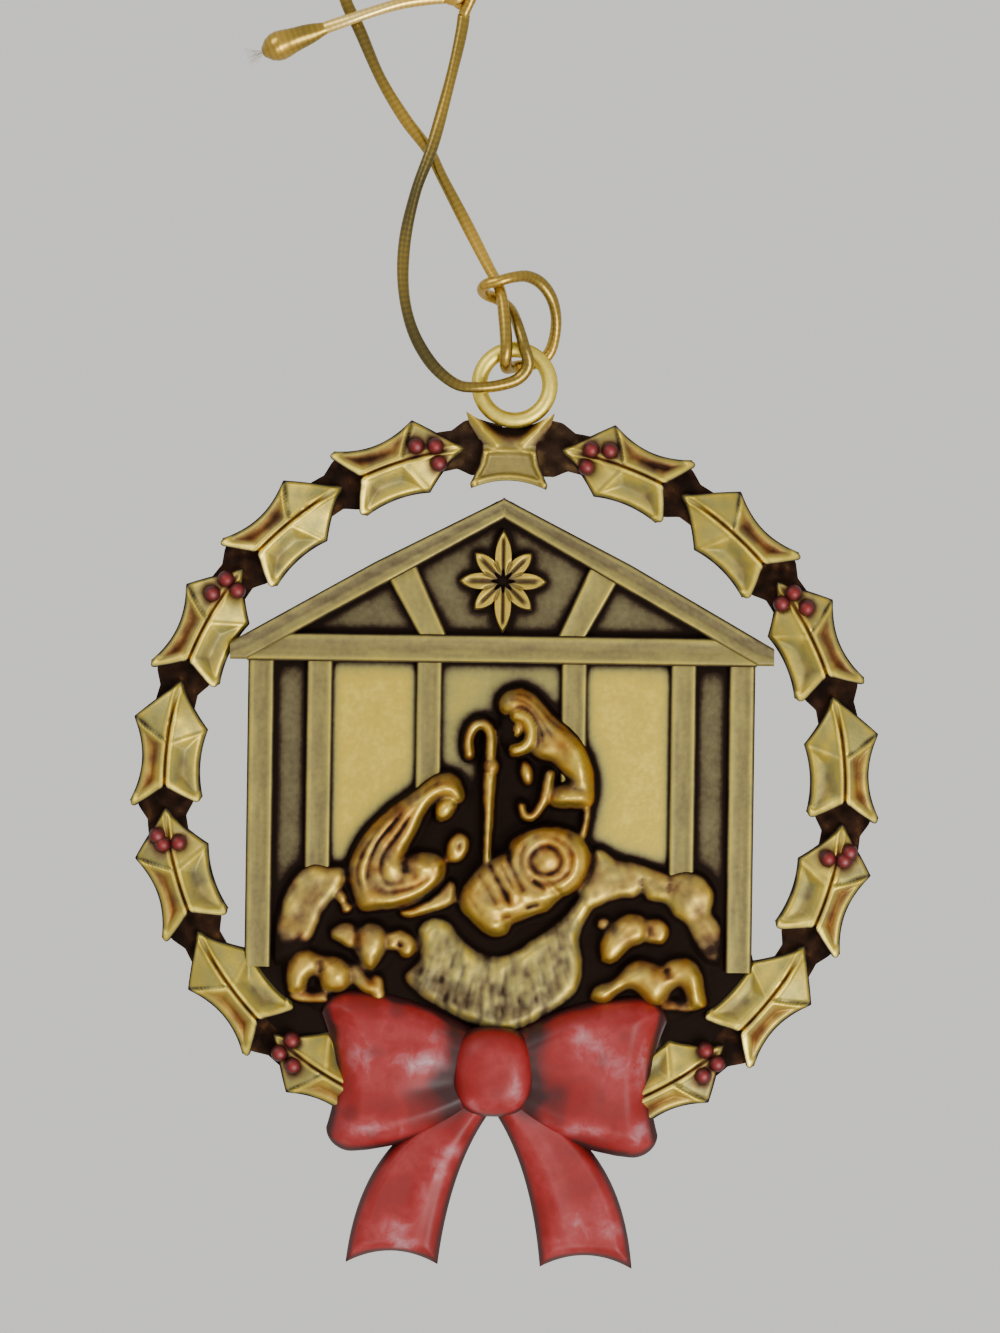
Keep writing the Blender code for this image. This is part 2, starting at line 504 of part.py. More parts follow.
def standing_figure():
    """Standing figure: head, hair, collar, cloak, hem, forearm, hands and the crook it holds."""
    floor = FLOOR_OF_RELIEF
    curl = [(1.0, 3.6), (2.0, 3.9), (2.35, 5.0), (1.9, 6.1), (0.9, 6.4)]
    hood = [(-0.6, 6.9), (0.6, 7.8), (2.4, 7.2), (4.2, 5.5), (6.0, 4.6)]
    forearm = [(3.7, 0.8), (3.5, -0.4), (3.0, -1.5), (2.3, -2.2), (1.6, -2.0)]
    crook = [(-3.15, 2.9), (-3.1, 4.2), (-2.5, 5.2), (-1.6, 5.0), (-1.1, 3.8), (-1.2, 2.4)]
    return [
        relief_pebble("shadow_side", 4.3, -1.6, 3.3, 5.6, 0, 1.9, around=12, rings=2),
        relief_pebble("hair", 1.5, 5.9, 2.3, 2.1, 0, 3.3, around=10, rings=2),
        relief_pebble("head", 0.7, 4.4, 1.3, 1.7, -15, 3.2, around=8, rings=2),
        relief_pebble("shoulder", 3.7, 4.5, 2.7, 1.3, -38, 3.4, around=8, rings=2),
        relief_pebble("cloak", 5.9, 2.3, 1.75, 3.9, 14, 3.8, around=12),
        relief_pebble("beard", 1.7, 1.2, 0.75, 1.4, 8, 3.2, around=8, rings=2),
        relief_pebble("lower_robe", 7.2, -3.6, 0.5, 1.6, 0, 2.8, around=6, rings=2),
        ridge("curl", curl, 0.36, 3.9, floor, 1.3, 0.6),
        ridge("hood", hood, 0.42, 3.8, floor, 1.6, 0.6),
        ridge("cloak_hem", [(4.3, -0.7), (5.8, -0.95), (7.4, -0.9)], 0.6, 4.0, floor, 1.6, 0.8),
        ridge("forearm", forearm, 0.4, 3.5, floor, 1.3, 0.6),
        ridge("crook", crook, 0.34, 2.7, floor, 1.3, 0.7),
        relief_pebble("fist", -1.5, 1.4, 0.8, 1.05, 0, 3.4, around=8, rings=2),
        ridge("staff", [(-1.5, 0.7), (-1.5, -3.0), (-1.45, -6.4)], (0.45, 0.16), 3.0, floor, 3.0),
    ]


def infant():
    """Swaddled child: nest of cloth in rings round the head, a round head, and the wrapped body."""
    floor = FLOOR_OF_RELIEF
    made = [
        relief_pebble("nest", 3.5, -6.6, 4.2, 3.8, 20, 3.1, around=12, rings=2),
        relief_pebble("small_head", 3.5, -6.4, 0.85, 0.95, 0, 4.1, around=8, rings=2),
        relief_pebble("wrapped_body", -0.2, -9.8, 4.7, 2.7, 36, 4.0, around=12),
        relief_pebble("wrapped_feet", 0.1, -11.9, 1.5, 1.3, 0, 3.6, around=8, rings=2),
    ]
    # Rings of cloth: radius, first and last angle, height
    for number, (radius, first, last, top) in enumerate(
        [(1.7, 0, 300, 3.9), (2.8, -70, 200, 3.8), (3.9, -80, 110, 3.6)]
    ):
        angle = np.radians(np.linspace(first, last, 8))
        route = [(3.5 + radius * math.cos(a), -6.5 + radius * math.sin(a)) for a in angle]
        made.append(ridge(f"cloth_ring_{number}", route, 0.36, top, floor, 6.0, 0.6))
    for number, (x, z) in enumerate([(-1.6, -8.9), (-0.4, -7.9), (0.9, -7.0)]):
        route = [(x, z), (x + 0.7, z - 1.4), (x + 1.8, z - 2.6), (x + 2.6, z - 3.2)]
        made.append(ridge(f"band_{number}", route, 0.3, 4.4, floor, 2.0, 0.5))
    return made


def sheep():
    """Two lying sheep, one at each side of the bowl."""
    # Place, half width and half height in relief units, turn in degrees, height, in the same units
    forms = {
        "left_head": (-11.4, -13.9, 1.15, 1.95, 0, 3.6),
        "left_ear_far": (-13.7, -13.1, 1.15, 0.65, -8, 2.9),
        "left_ear_near": (-8.9, -13.9, 1.1, 0.7, -25, 2.9),
        "left_back": (-16.9, -16.1, 2.3, 1.5, 0, 3.1),
        "left_chest": (-14.6, -17.1, 1.4, 1.6, 0, 3.4),
        "left_leg": (-11.9, -18.1, 2.5, 0.85, -22, 2.9),
        "right_head": (11.1, -12.8, 2.3, 1.25, 38, 3.6),
        "right_ear_near": (9.0, -11.9, 0.6, 0.5, 0, 2.8),
        "right_ear_far": (13.7, -12.2, 0.85, 0.65, 10, 2.9),
        "right_back": (13.6, -16.2, 3.6, 1.8, 10, 3.2),
        "right_haunch": (16.7, -16.9, 1.6, 2.1, 0, 3.5),
        "right_leg": (9.8, -17.4, 2.1, 0.8, 24, 2.9),
    }
    return [relief_pebble(f"sheep_{name}", *form, around=8, rings=2) for name, form in forms.items()]


def bow_loop(name, side):
    """One loop: columns up its height, rows from the knot to its hollow outer end and round corners."""
    out = np.array([0.08, 0.3, 0.55, 0.78, 0.93, 1.0])[:, None]
    up = np.array([-1.0, -0.85, -0.45, 0.0, 0.45, 0.85, 1.0])
    half = BOW_LOOP_HALF_HEIGHT * (0.46 + 0.56 * out**1.15)
    corner = 0.035 * out**8 * np.abs(up) ** 6
    x = BOW_LOOP_REACH * out * (0.945 + 0.085 * np.abs(up) ** 1.5 + 0.02 * up) - BOW_LOOP_REACH * corner
    z = -BOW_DROP - BOW_SEAT_DROP * out + half * up * (1 - 1.6 * corner)
    dome = (1 - up**4) ** 0.7 * np.sin(np.clip(out, 0.2, 1.0) * math.pi) ** 0.35
    rise = np.where(out > 0.99, 0.0, 1.0) * (dome + 0.16 * np.cos(up * 2.5 * math.pi) * (1 - out))
    top = BOW_LOOP_EDGE + (BOW_LOOP_CREST - BOW_LOOP_EDGE) * np.clip(rise, 0, 1.2)
    return slab(name, side * x + BOW_SHIFT, z, top, PLATE_BACK / 2)


def bow_tail(name, side):
    """One tail: a ribbon between two curved edges that ends in a hollow foot."""
    t = np.array([0.0, 0.2, 0.4, 0.58, 0.75, 0.9, 1.0])[:, None]
    v = np.array([0.0, 0.12, 0.5, 0.88, 1.0])
    start, middle, end = (1 - t) ** 2, 2 * t * (1 - t), t**2
    inner = BOW_TAIL_GAP / 2
    x_in = start * BOW_TAIL_ROOT_GAP + middle * inner * 0.86 + end * inner
    x_out = start * (BOW_TAIL_ROOT_GAP + BOW_TAIL_ROOT) + middle * BOW_TAIL_REACH * 0.92 + end * BOW_TAIL_REACH
    root = -BOW_KNOT_HALF_HEIGHT * (0.7 * start + middle) - end * BOW_TAIL_DROP
    z_in = root - middle * BOW_TAIL_INNER_FALL
    z_out = root - middle * BOW_TAIL_OUTER_FALL
    x = x_in + (x_out - x_in) * v
    z = z_in + (z_out - z_in) * v + BOW_NOTCH * (1 - (2 * v - 1) ** 2) * t**8
    crest = np.array([0.0, 0.8, 1.0, 0.8, 0.0]) * np.where(t > 0.99, 0.3, 1.0)
    top = BOW_TAIL_EDGE + (BOW_TAIL_CREST - BOW_TAIL_EDGE) * crest + BOW_TAIL_ROOT_LIFT * (1 - t) ** 3
    return slab(name, side * x + BOW_SHIFT, z - BOW_DROP, top, PLATE_BACK / 4)


def bow():
    """Two loops, two tails and the knot between them."""
    knot = pebble(
        "bow_knot", BOW_SHIFT, -BOW_DROP, BOW_KNOT_HALF_WIDTH, BOW_KNOT_HALF_HEIGHT, 0, BOW_KNOT_HEIGHT,
        FLOOR_OF_RELIEF, around=14, rings=3,
    )
    return [
        bow_loop("bow_loop_left", -1), bow_loop("bow_loop_right", 1),
        bow_tail("bow_tail_left", -1), bow_tail("bow_tail_right", 1), knot,
    ]


def fused(name, pieces, finish):
    """All pieces as one closed body: a Boolean union, cleaned of slivers and turned to triangles."""
    first, rest = pieces[0], pieces[1:]
    group = bpy.data.collections.new("fused_pieces")
    for piece in rest:
        group.objects.link(piece)
    join = first.modifiers.new("union", "BOOLEAN")
    join.operation = "UNION"
    join.solver = "EXACT"
    join.operand_type = "COLLECTION"
    join.collection = group
    bpy.context.view_layer.update()
    graph = bpy.context.evaluated_depsgraph_get()
    mesh = bpy.data.meshes.new_from_object(first.evaluated_get(graph))
    for piece in pieces:
        bpy.data.objects.remove(piece)
    bpy.data.collections.remove(group)
    bm = bmesh.new()
    bm.from_mesh(mesh)
    bmesh.ops.remove_doubles(bm, verts=bm.verts, dist=MERGE)
    bmesh.ops.dissolve_degenerate(bm, edges=bm.edges, dist=MERGE)
    bmesh.ops.dissolve_limit(bm, angle_limit=math.radians(FLAT_DEG), verts=bm.verts, edges=bm.edges)
    bmesh.ops.triangulate(bm, faces=bm.faces)
    pinched = [edge for edge in bm.edges if len(edge.link_faces) > 2]
    bmesh.ops.collapse(bm, edges=pinched)
    loose = [edge for edge in bm.edges if not edge.link_faces]
    bmesh.ops.delete(bm, geom=loose, context="EDGES")
    bmesh.ops.recalc_face_normals(bm, faces=bm.faces)
    bm.to_mesh(mesh)
    bm.free()
    mesh.materials.clear()
    mesh.materials.append(finish)
    made = bpy.data.objects.new(name, mesh)
    bpy.context.scene.collection.objects.link(made)
    return made


def cord_point(place):
    """World point of a place on a cord, given right, forwards and up from the ring in millimetres."""
    right, forwards, up = place
    return np.array([right, -forwards, up]) * 0.001 + np.array([0.0, 0.0, RING_Z])


def cord_tube(name, route, finish):
    """Round cord as a bevelled curve through a smooth route, close points at bends and wide on runs."""
    fine = smooth_route([cord_point(p) for p in route], 0.0002)
    run = np.linalg.norm(np.diff(fine, axis=0), axis=1)
    place = np.concatenate([[0.0], np.cumsum(run)])
    heading = np.gradient(fine, axis=0)
    heading /= np.linalg.norm(heading, axis=1)[:, None]
    bend = np.linalg.norm(np.gradient(heading, axis=0), axis=1) / np.maximum(np.gradient(place), 1e-9)
    bend = np.convolve(bend, np.ones(9) / 9, mode="same")
    wish = np.clip(0.55 / np.maximum(bend, 1e-9), CLOSE_POINTS, WIDE_POINTS)
    work = np.concatenate([[0.0], np.cumsum(run / ((wish[1:] + wish[:-1]) / 2))])
    count = max(2, round(work[-1])) + 1
    chosen = np.interp(np.linspace(0, work[-1], count), work, place)
    points = np.stack([np.interp(chosen, place, fine[:, k]) for k in range(3)], -1)
    curve = bpy.data.curves.new(name, "CURVE")
    curve.dimensions = "3D"
    curve.bevel_depth = CORD_DIAMETER / 2
    curve.bevel_resolution = 2
    curve.use_fill_caps = True
    line = curve.splines.new("POLY")
    line.points.add(len(points) - 1)
    for spot, point in zip(line.points, points):
        spot.co = (*point, 1.0)
    curve.materials.append(finish)
    made = bpy.data.objects.new(name, curve)
    bpy.context.scene.collection.objects.link(made)
    print(name, len(points), "points,", round(place[-1] * 1000, 1), "mm")
    return made


def turned_lump(name, centres, radii, finish, around=8):
    """Round lump along a line: one ring of points for each radius, closed at both ends."""
    centres = np.array(centres)
    along = np.gradient(centres, axis=0)
    along /= np.linalg.norm(along, axis=1)[:, None]
    side = np.cross(along, (0.0, 1.0, 0.0))
    side /= np.linalg.norm(side, axis=1)[:, None]
    third = np.cross(along, side)
    angle = np.arange(around) * 2 * math.pi / around
    spoke = np.cos(angle)[:, None] * side[:, None] + np.sin(angle)[:, None] * third[:, None]
    rings = centres[:, None] + np.array(radii)[:, None, None] * spoke
    count = len(centres)
    number = np.arange(count * around).reshape(count, around)
    nearby = np.roll(number, -1, 1)
    walls = np.stack([number[:-1], nearby[:-1], nearby[1:], number[1:]], -1).reshape(-1, 4)
    made = solid(name, rings.reshape(-1, 3), [*walls, number[0, ::-1], number[-1]])
    made.data.materials.append(finish)
    made.data.shade_smooth()
    return made


def knot_lump(finish):
    """Knot that closes the loop: a short round lump, a little longer than wide."""
    middle = cord_point(KNOT_PLACE)
    tall = np.array([-1.0, -0.7, -0.2, 0.3, 0.75, 1.0])
    centres = middle + tall[:, None] * np.array([-0.15, 0.0, 0.99]) * CORD_KNOT_RADIUS
    radii = CORD_KNOT_RADIUS * np.sqrt(1.06 - tall**2)
    return turned_lump("cord_knot", centres, radii, finish)


def tail_knot(finish):
    """Thick knotted and sealed end of the tail."""
    return turned_lump("tail_knot", [cord_point(p) for p in TAIL_KNOT_ROUTE], TAIL_KNOT_RADII, finish)


def clear_scene():
    """Take away whatever the scene holds."""
    for item in list(bpy.data.objects):
        bpy.data.objects.remove(item)


def main():
    clear_scene()
    brass = material("antiqued_brass", (0.48, 0.38, 0.15), 0.38, 1.0)
    gold_cord = material("metallic_cord", (0.55, 0.42, 0.12), 0.45, 0.6)
    relief = hay() + kneeling_figure() + standing_figure() + infant() + sheep()
    pieces = wreath() + [ring()] + stable() + relief + bow()
    casting = fused("ornament_casting", pieces, brass)
    print("ornament_casting", len(casting.data.polygons), "triangles")
    cord_tube("hanging_cord", CORD_ROUTE, gold_cord)
    cord_tube("cord_tail", TAIL_ROUTE, gold_cord)
    knot_lump(gold_cord)
    tail_knot(gold_cord)


main()
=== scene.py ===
# %% [markdown]
# # A die-cast nativity ornament, dressed
# The real ornament is one casting of zinc alloy, plated with brass, darkened and then rubbed bright again.
# A bow and berries in red enamel are painted on it, and it hangs by a loop of gold cord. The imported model
# already has every part at its place and size. This lesson lays the finer relief and the finishes over it.

import math

import bpy
import numpy as np
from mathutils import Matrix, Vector


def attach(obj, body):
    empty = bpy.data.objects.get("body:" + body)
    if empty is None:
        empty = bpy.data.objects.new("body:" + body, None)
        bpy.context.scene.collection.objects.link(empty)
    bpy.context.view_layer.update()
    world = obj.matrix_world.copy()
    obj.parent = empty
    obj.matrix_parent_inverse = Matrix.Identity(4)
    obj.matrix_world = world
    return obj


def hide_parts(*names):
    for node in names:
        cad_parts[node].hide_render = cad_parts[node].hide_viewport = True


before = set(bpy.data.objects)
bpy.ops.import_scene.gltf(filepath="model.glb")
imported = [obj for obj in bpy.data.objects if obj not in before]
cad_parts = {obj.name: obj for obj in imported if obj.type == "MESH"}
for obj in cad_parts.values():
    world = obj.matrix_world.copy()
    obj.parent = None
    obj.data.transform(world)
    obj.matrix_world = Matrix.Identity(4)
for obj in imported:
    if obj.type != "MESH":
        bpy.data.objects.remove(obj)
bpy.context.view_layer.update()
MM = 0.001
print("parts in the frame:", sorted(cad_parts))

# %% [markdown]
# ## Where things are
# The hanging point is the origin, and the relief faces the camera along -Y. All sizes are read off in
# millimetres: to the right, up from the middle of the wreath, and forwards from the casting's flat back.

# %% Places on the casting
RING_UP = -51.4  # middle of the hanging ring, from the hanging point
WREATH_RADIUS = 29.9  # circle that the leaf ribs follow
RING_SEAT = 5.35  # from that circle to the middle of the ring
WREATH_UP = RING_UP - WREATH_RADIUS - RING_SEAT
BACK_FORWARDS = -1.3  # flat back of the casting, behind the hanging point


def in_frame(right, forwards, up):
    """Points in metres: x is right, y is forwards turned round, z is up from the hanging point."""
    right, forwards, up = np.broadcast_arrays(right, forwards, up)
    return np.stack([right, -forwards, up], axis=-1) * MM


def on_casting(right, height, up):
    """Points in metres of places on the casting, from the wreath's middle and the flat back."""
    return in_frame(right, height + BACK_FORWARDS, up + WREATH_UP)


def colour(code):
    """Linear RGBA of an sRGB hex: each share below 0.04045 is over 12.92, the rest a power of 2.4."""
    share = np.array([int(code[i : i + 2], 16) for i in (0, 2, 4)]) / 255
    linear = np.where(share <= 0.04045, share / 12.92, ((share + 0.055) / 1.055) ** 2.4)
    return (*linear.tolist(), 1.0)


print("the middle of the wreath is", round(-WREATH_UP, 2), "mm below the hanging point")

# %% [markdown]
# ## The camera
# The photograph looks at the ornament squarely, about half a metre away, through a long lens, and the
# ornament leans 1.4 degrees clockwise in it. The camera rolls the other way by as much.

# %% Camera
VIEW_WIDE, VIEW_TALL = 88.0, 117.3  # what the photograph takes in
VIEW_RIGHT, VIEW_UP = -0.68, 10.45  # middle of the photograph, from the middle of the wreath
CAMERA_AWAY = 500.0
PHOTO_ROLL_DEG = 1.4

lens = bpy.data.cameras.new("photo_camera")
lens.sensor_width = 36.0
lens.lens = lens.sensor_width * CAMERA_AWAY / VIEW_TALL
lens.clip_start, lens.clip_end = 0.01, 20.0
camera = bpy.data.objects.new("photo_camera", lens)
bpy.context.scene.collection.objects.link(camera)
camera.location = in_frame(VIEW_RIGHT, CAMERA_AWAY, WREATH_UP + VIEW_UP)
camera.rotation_euler = (math.pi / 2, math.radians(-PHOTO_ROLL_DEG), 0.0)
bpy.context.scene.camera = camera
print("lens", round(lens.lens, 1), "mm, which takes in", VIEW_WIDE, "by", VIEW_TALL, "mm")

# %% [markdown]
# ## Nodes, materials and objects
# Every finish is a small tree of shader nodes. Three helpers add a node with its inputs, start a material
# and put a mesh in the scene.

# %% Nodes, materials and objects
def add_node(tree, kind, settings=None, inputs=None, stops=None):
    """Adds a node. Inputs are values or other nodes' outputs; stops are a ramp's places and hex colours."""
    node = tree.nodes.new(kind)
    for name, value in (settings or {}).items():
        setattr(node, name, value)
    for key, value in (inputs or {}).items():
        if isinstance(value, bpy.types.NodeSocket):
            tree.links.new(value, node.inputs[key])
        else:
            node.inputs[key].default_value = value
    if stops:
        ramp = node.color_ramp.elements
        while len(ramp) < len(stops):
            ramp.new(0.5)
        for element, (place, code) in zip(ramp, stops):
            element.position = place
            element.color = colour(code)
    return node


def new_material(name):
    """An empty material, its node tree and its output node."""
    material = bpy.data.materials.new(name)
    material.use_nodes = True
    material.node_tree.nodes.clear()
    return material, material.node_tree, material.node_tree.nodes.new("ShaderNodeOutputMaterial")


def new_object(name, mesh, material):
    """An object at the origin, in the scene, with one material."""
    made = bpy.data.objects.new(name, mesh)
    bpy.context.scene.collection.objects.link(made)
    mesh.materials.append(material)
    return made


print("white is", colour("ffffff"))

# %% [markdown]
# ## Floor and light
# A pale floor lies well below the hanging ornament. The light is that of a small studio: a pale room all
# round, a large soft lamp in front, low and to the right, since the photograph's highlights sit on the
# slopes that look down and to the right, and a weaker one above to the left.

# %% Floor, room and lamps
FLOOR_UP, FLOOR_REACH = -420.0, 2200.0

# Matt white paper: one even pale tone, without shine.
paper, tree, output = new_material("matt_white_paper")
surface = add_node(tree, "ShaderNodeBsdfPrincipled", None, {"Base Color": colour("e9e7e2"), "Roughness": 0.9})
tree.links.new(surface.outputs["BSDF"], output.inputs["Surface"])
floor_mesh = bpy.data.meshes.new("pale_floor")
corner_right, corner_forwards = FLOOR_REACH * np.array([[-1, 1, 1, -1], [1, 1, -1, -1]])
floor_corners = in_frame(corner_right, corner_forwards, FLOOR_UP)
floor_mesh.from_pydata(floor_corners, [], [(0, 1, 2, 3)])
new_object("pale_floor", floor_mesh, paper)

room = bpy.data.worlds.new("pale_room")
room.use_nodes = True
room.node_tree.nodes["Background"].inputs["Color"].default_value = colour("f4f3ef")
room.node_tree.nodes["Background"].inputs["Strength"].default_value = 0.95
bpy.context.scene.world = room

# Name, right, forwards and up in millimetres, width in millimetres, power in watts
for name, right, forwards, up, width, power in [
    ("key_lamp", 230, 430, -330, 260, 3.0),
    ("fill_lamp", -330, 420, 250, 300, 1.3),
]:
    lamp = bpy.data.lights.new(name, "AREA")
    lamp.size = width * MM
    lamp.energy = power
    made = bpy.data.objects.new(name, lamp)
    bpy.context.scene.collection.objects.link(made)
    made.location = in_frame(right, forwards, up)
    aim = Vector(in_frame(0, 0, WREATH_UP)) - made.location
    made.rotation_euler = aim.to_track_quat("-Z", "Y").to_euler()
    print(name, round(aim.length / MM), "mm from the wreath,", power, "W")

# %% [markdown]
# ## Gold cord
# The cord is a narrow film of metallised polyester wound round a thread core, so it looks like a smooth gold
# wire with fine rings. It is a little flat, and the flat turns slowly along it, so it is wide in some places
# and narrow in others. Its gold and olive tones along the way are painted shade and reflection.

# %% Metallic cord material
CORD_DIAMETER = 1.1
CORD_WINDING = 0.5  # the real film is wound every 0.3 mm, too fine to show
CORD_TURN = 21.0  # one full turn of the flat

# Metallised polyester film over thread: gold, with an olive line where one winding meets the next.
cord_film, tree, output = new_material("wound_metallised_film_cord")
along = add_node(tree, "ShaderNodeUVMap", {"uv_map": "round_and_along"})
shaded = add_node(tree, "ShaderNodeAttribute", {"attribute_name": "patina_and_shade"})
windings = add_node(
    tree, "ShaderNodeTexWave", {"bands_direction": "Y"},
    {"Vector": along.outputs["UV"], "Scale": math.pi / 10 / CORD_WINDING, "Distortion": 0.7, "Detail": 1.0},
)
mixed = add_node(
    tree, "ShaderNodeMath", {"operation": "MULTIPLY_ADD"},
    {0: windings.outputs["Fac"], 1: -0.06, 2: shaded.outputs["Fac"]},
)
tint = add_node(
    tree, "ShaderNodeValToRGB", None, {"Fac": mixed.outputs["Value"]},
    [(0.0, "f2d684"), (0.2, "cda546"), (0.42, "947a35"), (0.65, "5e5430"), (1.0, "2e2c1b")],
)
raised = add_node(
    tree, "ShaderNodeBump", None,
    {"Height": windings.outputs["Fac"], "Strength": 0.07, "Distance": 0.03 * MM},
)
surface = add_node(
    tree, "ShaderNodeBsdfPrincipled", None,
    {
        "Base Color": tint.outputs["Color"], "Metallic": 0.9,
        "Roughness": 0.3, "Normal": raised.outputs["Normal"],
    },
)
tree.links.new(surface.outputs["BSDF"], output.inputs["Surface"])
print(cord_film.name, "has", len(tree.nodes), "nodes")

# Core threads at the melted end, where the film has come off: pale, cloudy and half clear.
bare_thread, tree, output = new_material("melted_clear_thread")
surface = add_node(
    tree, "ShaderNodeBsdfPrincipled", None,
    {"Base Color": colour("ded9cf"), "Roughness": 0.35, "Transmission Weight": 0.45, "IOR": 1.5},
)
tree.links.new(surface.outputs["BSDF"], output.inputs["Surface"])

# %% [markdown]
# ## The route of the cord
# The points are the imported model's own: from the knot down the left strand, over the rim of the ring and
# round the right strand, through the small loop, behind the ring and up again to the hanging loop. Between
# them runs a Catmull-Rom curve.

# %% Route of the cord
CORD_ROUTE = [
    (-5.25, 1.0, 32.3), (-5.40, 1.0, 31.0), (-5.85, 1.0, 28.6), (-6.75, 1.0, 24.7), (-7.80, 1.1, 20.5),
    (-9.10, 0.9, 16.7), (-9.95, 0.7, 12.4), (-9.97, 0.7, 8.2), (-9.10, 0.9, 4.6), (-7.35, 1.2, 1.66),
    (-5.20, 1.45, -0.1), (-3.30, 1.5, -0.36), (-1.40, 1.25, -0.15), (0.30, 1.0, 0.5), (1.15, 1.2, 1.75),
    (0.75, 1.5, 3.3), (0.35, 1.15, 4.6), (-0.05, 0.35, 5.75), (-0.60, -0.4, 6.75), (-1.60, -0.65, 7.5),
    (-2.65, -0.15, 7.9), (-3.05, 0.9, 8.3), (-2.65, 1.9, 8.7), (-1.50, 2.25, 9.0), (-0.30, 1.9, 9.35),
    (0.90, 1.0, 9.5), (2.10, 0.1, 9.0), (3.05, -0.6, 7.8), (3.50, -1.0, 6.2), (3.45, -1.35, 4.6),
    (3.05, -1.5, 3.1), (2.25, -1.5, 2.25), (1.00, -1.3, 1.85), (-0.20, -0.75, 1.6), (-0.75, 0.35, 1.5),
    (-0.85, 1.25, 2.15), (-0.80, 1.55, 3.2), (-0.90, 1.45, 4.6), (-1.05, 1.25, 5.8), (-1.30, 0.9, 7.5),
    (-1.70, 0.65, 8.8), (-2.60, 0.3, 10.4), (-4.55, -0.1, 14.0), (-6.80, -0.35, 18.1), (-8.07, -0.4, 20.5),
    (-10.25, -0.4, 23.25), (-12.45, -0.3, 26.7), (-14.40, -0.2, 30.9), (-15.70, -0.1, 33.5),
    (-16.80, 0.0, 37.2), (-16.30, 0.0, 41.4), (-13.60, 0.0, 45.4), (-9.40, 0.0, 48.8), (-4.60, 0.0, 50.9),
    (0.00, 0.0, 51.37), (3.80, 0.0, 50.0), (5.80, 0.0, 46.8), (5.50, 0.0, 42.9), (3.40, 0.2, 39.3),
    (0.60, 0.5, 36.6), (-2.00, 0.8, 34.9), (-3.70, 1.0, 34.2),
]
TAIL_ROUTE = [
    (-6.95, 1.0, 33.80), (-8.40, 1.1, 33.65), (-10.80, 1.3, 33.15), (-13.30, 1.45, 32.35),
    (-15.10, 1.5, 31.70), (-16.60, 1.4, 31.15), (-17.50, 1.3, 30.80),
]


def smooth_route(points, step):
    """Places about step apart on the Catmull-Rom curve through the points."""
    points = np.array(points, dtype=float)
    ends = [2 * points[0] - points[1], *points, 2 * points[-1] - points[-2]]
    made = []
    for a, b, c, d in zip(ends, ends[1:], ends[2:], ends[3:]):
        t = np.linspace(0, 1, max(2, round(float(np.linalg.norm(c - b)) / step)), endpoint=False)[:, None]
        bend = (2 * a - 5 * b + 4 * c - d) * t**2 + (3 * b - a - 3 * c + d) * t**3
        made.append(b + 0.5 * ((c - a) * t + bend))
    return np.concatenate([*made, points[-1:]])


print("the loop has", len(CORD_ROUTE), "points and the tail", len(TAIL_ROUTE))

# %% [markdown]
# ## Tubes along a curve
# A tube round a curve needs a direction square to it that doesn't spin, so each step's direction is the
# last one with the part along the curve taken out. Each point of a mesh carries its darkness, and a cord
# also carries how far round and along it each corner lies, which places its windings.

# %% Tubes
def square_to(line):
    """For each place of a line, two unit directions square to it, carried along with the least turn."""
    heading = np.gradient(line, axis=0)
    heading /= np.linalg.norm(heading, axis=1)[:, None]
    side = [np.cross(heading[0], (0.0, 1.0, 0.1))]
    for ahead in heading[1:]:
        side.append(side[-1] - ahead * np.dot(side[-1], ahead))
        side[-1] /= np.linalg.norm(side[-1])
    side = np.array(side)
    side[0] /= np.linalg.norm(side[0])
    return side, np.cross(heading, side)


def store_values(mesh, patina_and_shade, uv=None):
    """Keeps the darkness of each point in "patina", and the place of each corner in "round_and_along"."""
    kept = mesh.attributes.new("patina_and_shade", "FLOAT", "POINT")
    kept.data.foreach_set("value", np.clip(patina_and_shade, 0, 1).astype(np.float32).ravel())
    if uv is not None:
        point = np.zeros(len(mesh.loops), dtype=np.int32)
        mesh.loops.foreach_get("vertex_index", point)
        layer = mesh.uv_layers.new(name="round_and_along")
        layer.data.foreach_set("uv", uv.reshape(-1, 2)[point].astype(np.float32).ravel())


def tube_mesh(name, rings, patina_and_shade, uv):
    """Mesh of tubes: each ring of points is joined to the next, and the first and the last are closed."""
    number = np.arange(rings[..., 0].size).reshape(rings.shape[:-1])
    nearby = np.roll(number, -1, axis=2)
    walls = np.stack([number[:, :-1], number[:, 1:], nearby[:, 1:], nearby[:, :-1]], axis=-1).reshape(-1, 4)
    mesh = bpy.data.meshes.new(name)
    faces = [*walls.tolist(), *number[:, 0].tolist(), *number[:, -1, ::-1].tolist()]
    mesh.from_pydata(rings.reshape(-1, 3), [], faces)
    store_values(mesh, patina_and_shade, uv)
    mesh.shade_smooth()
    return mesh


print("square to a line straight up:", square_to(np.array([[0.0, 0.0, 0.0], [0.0, 0.0, 1.0]]))[0][0])
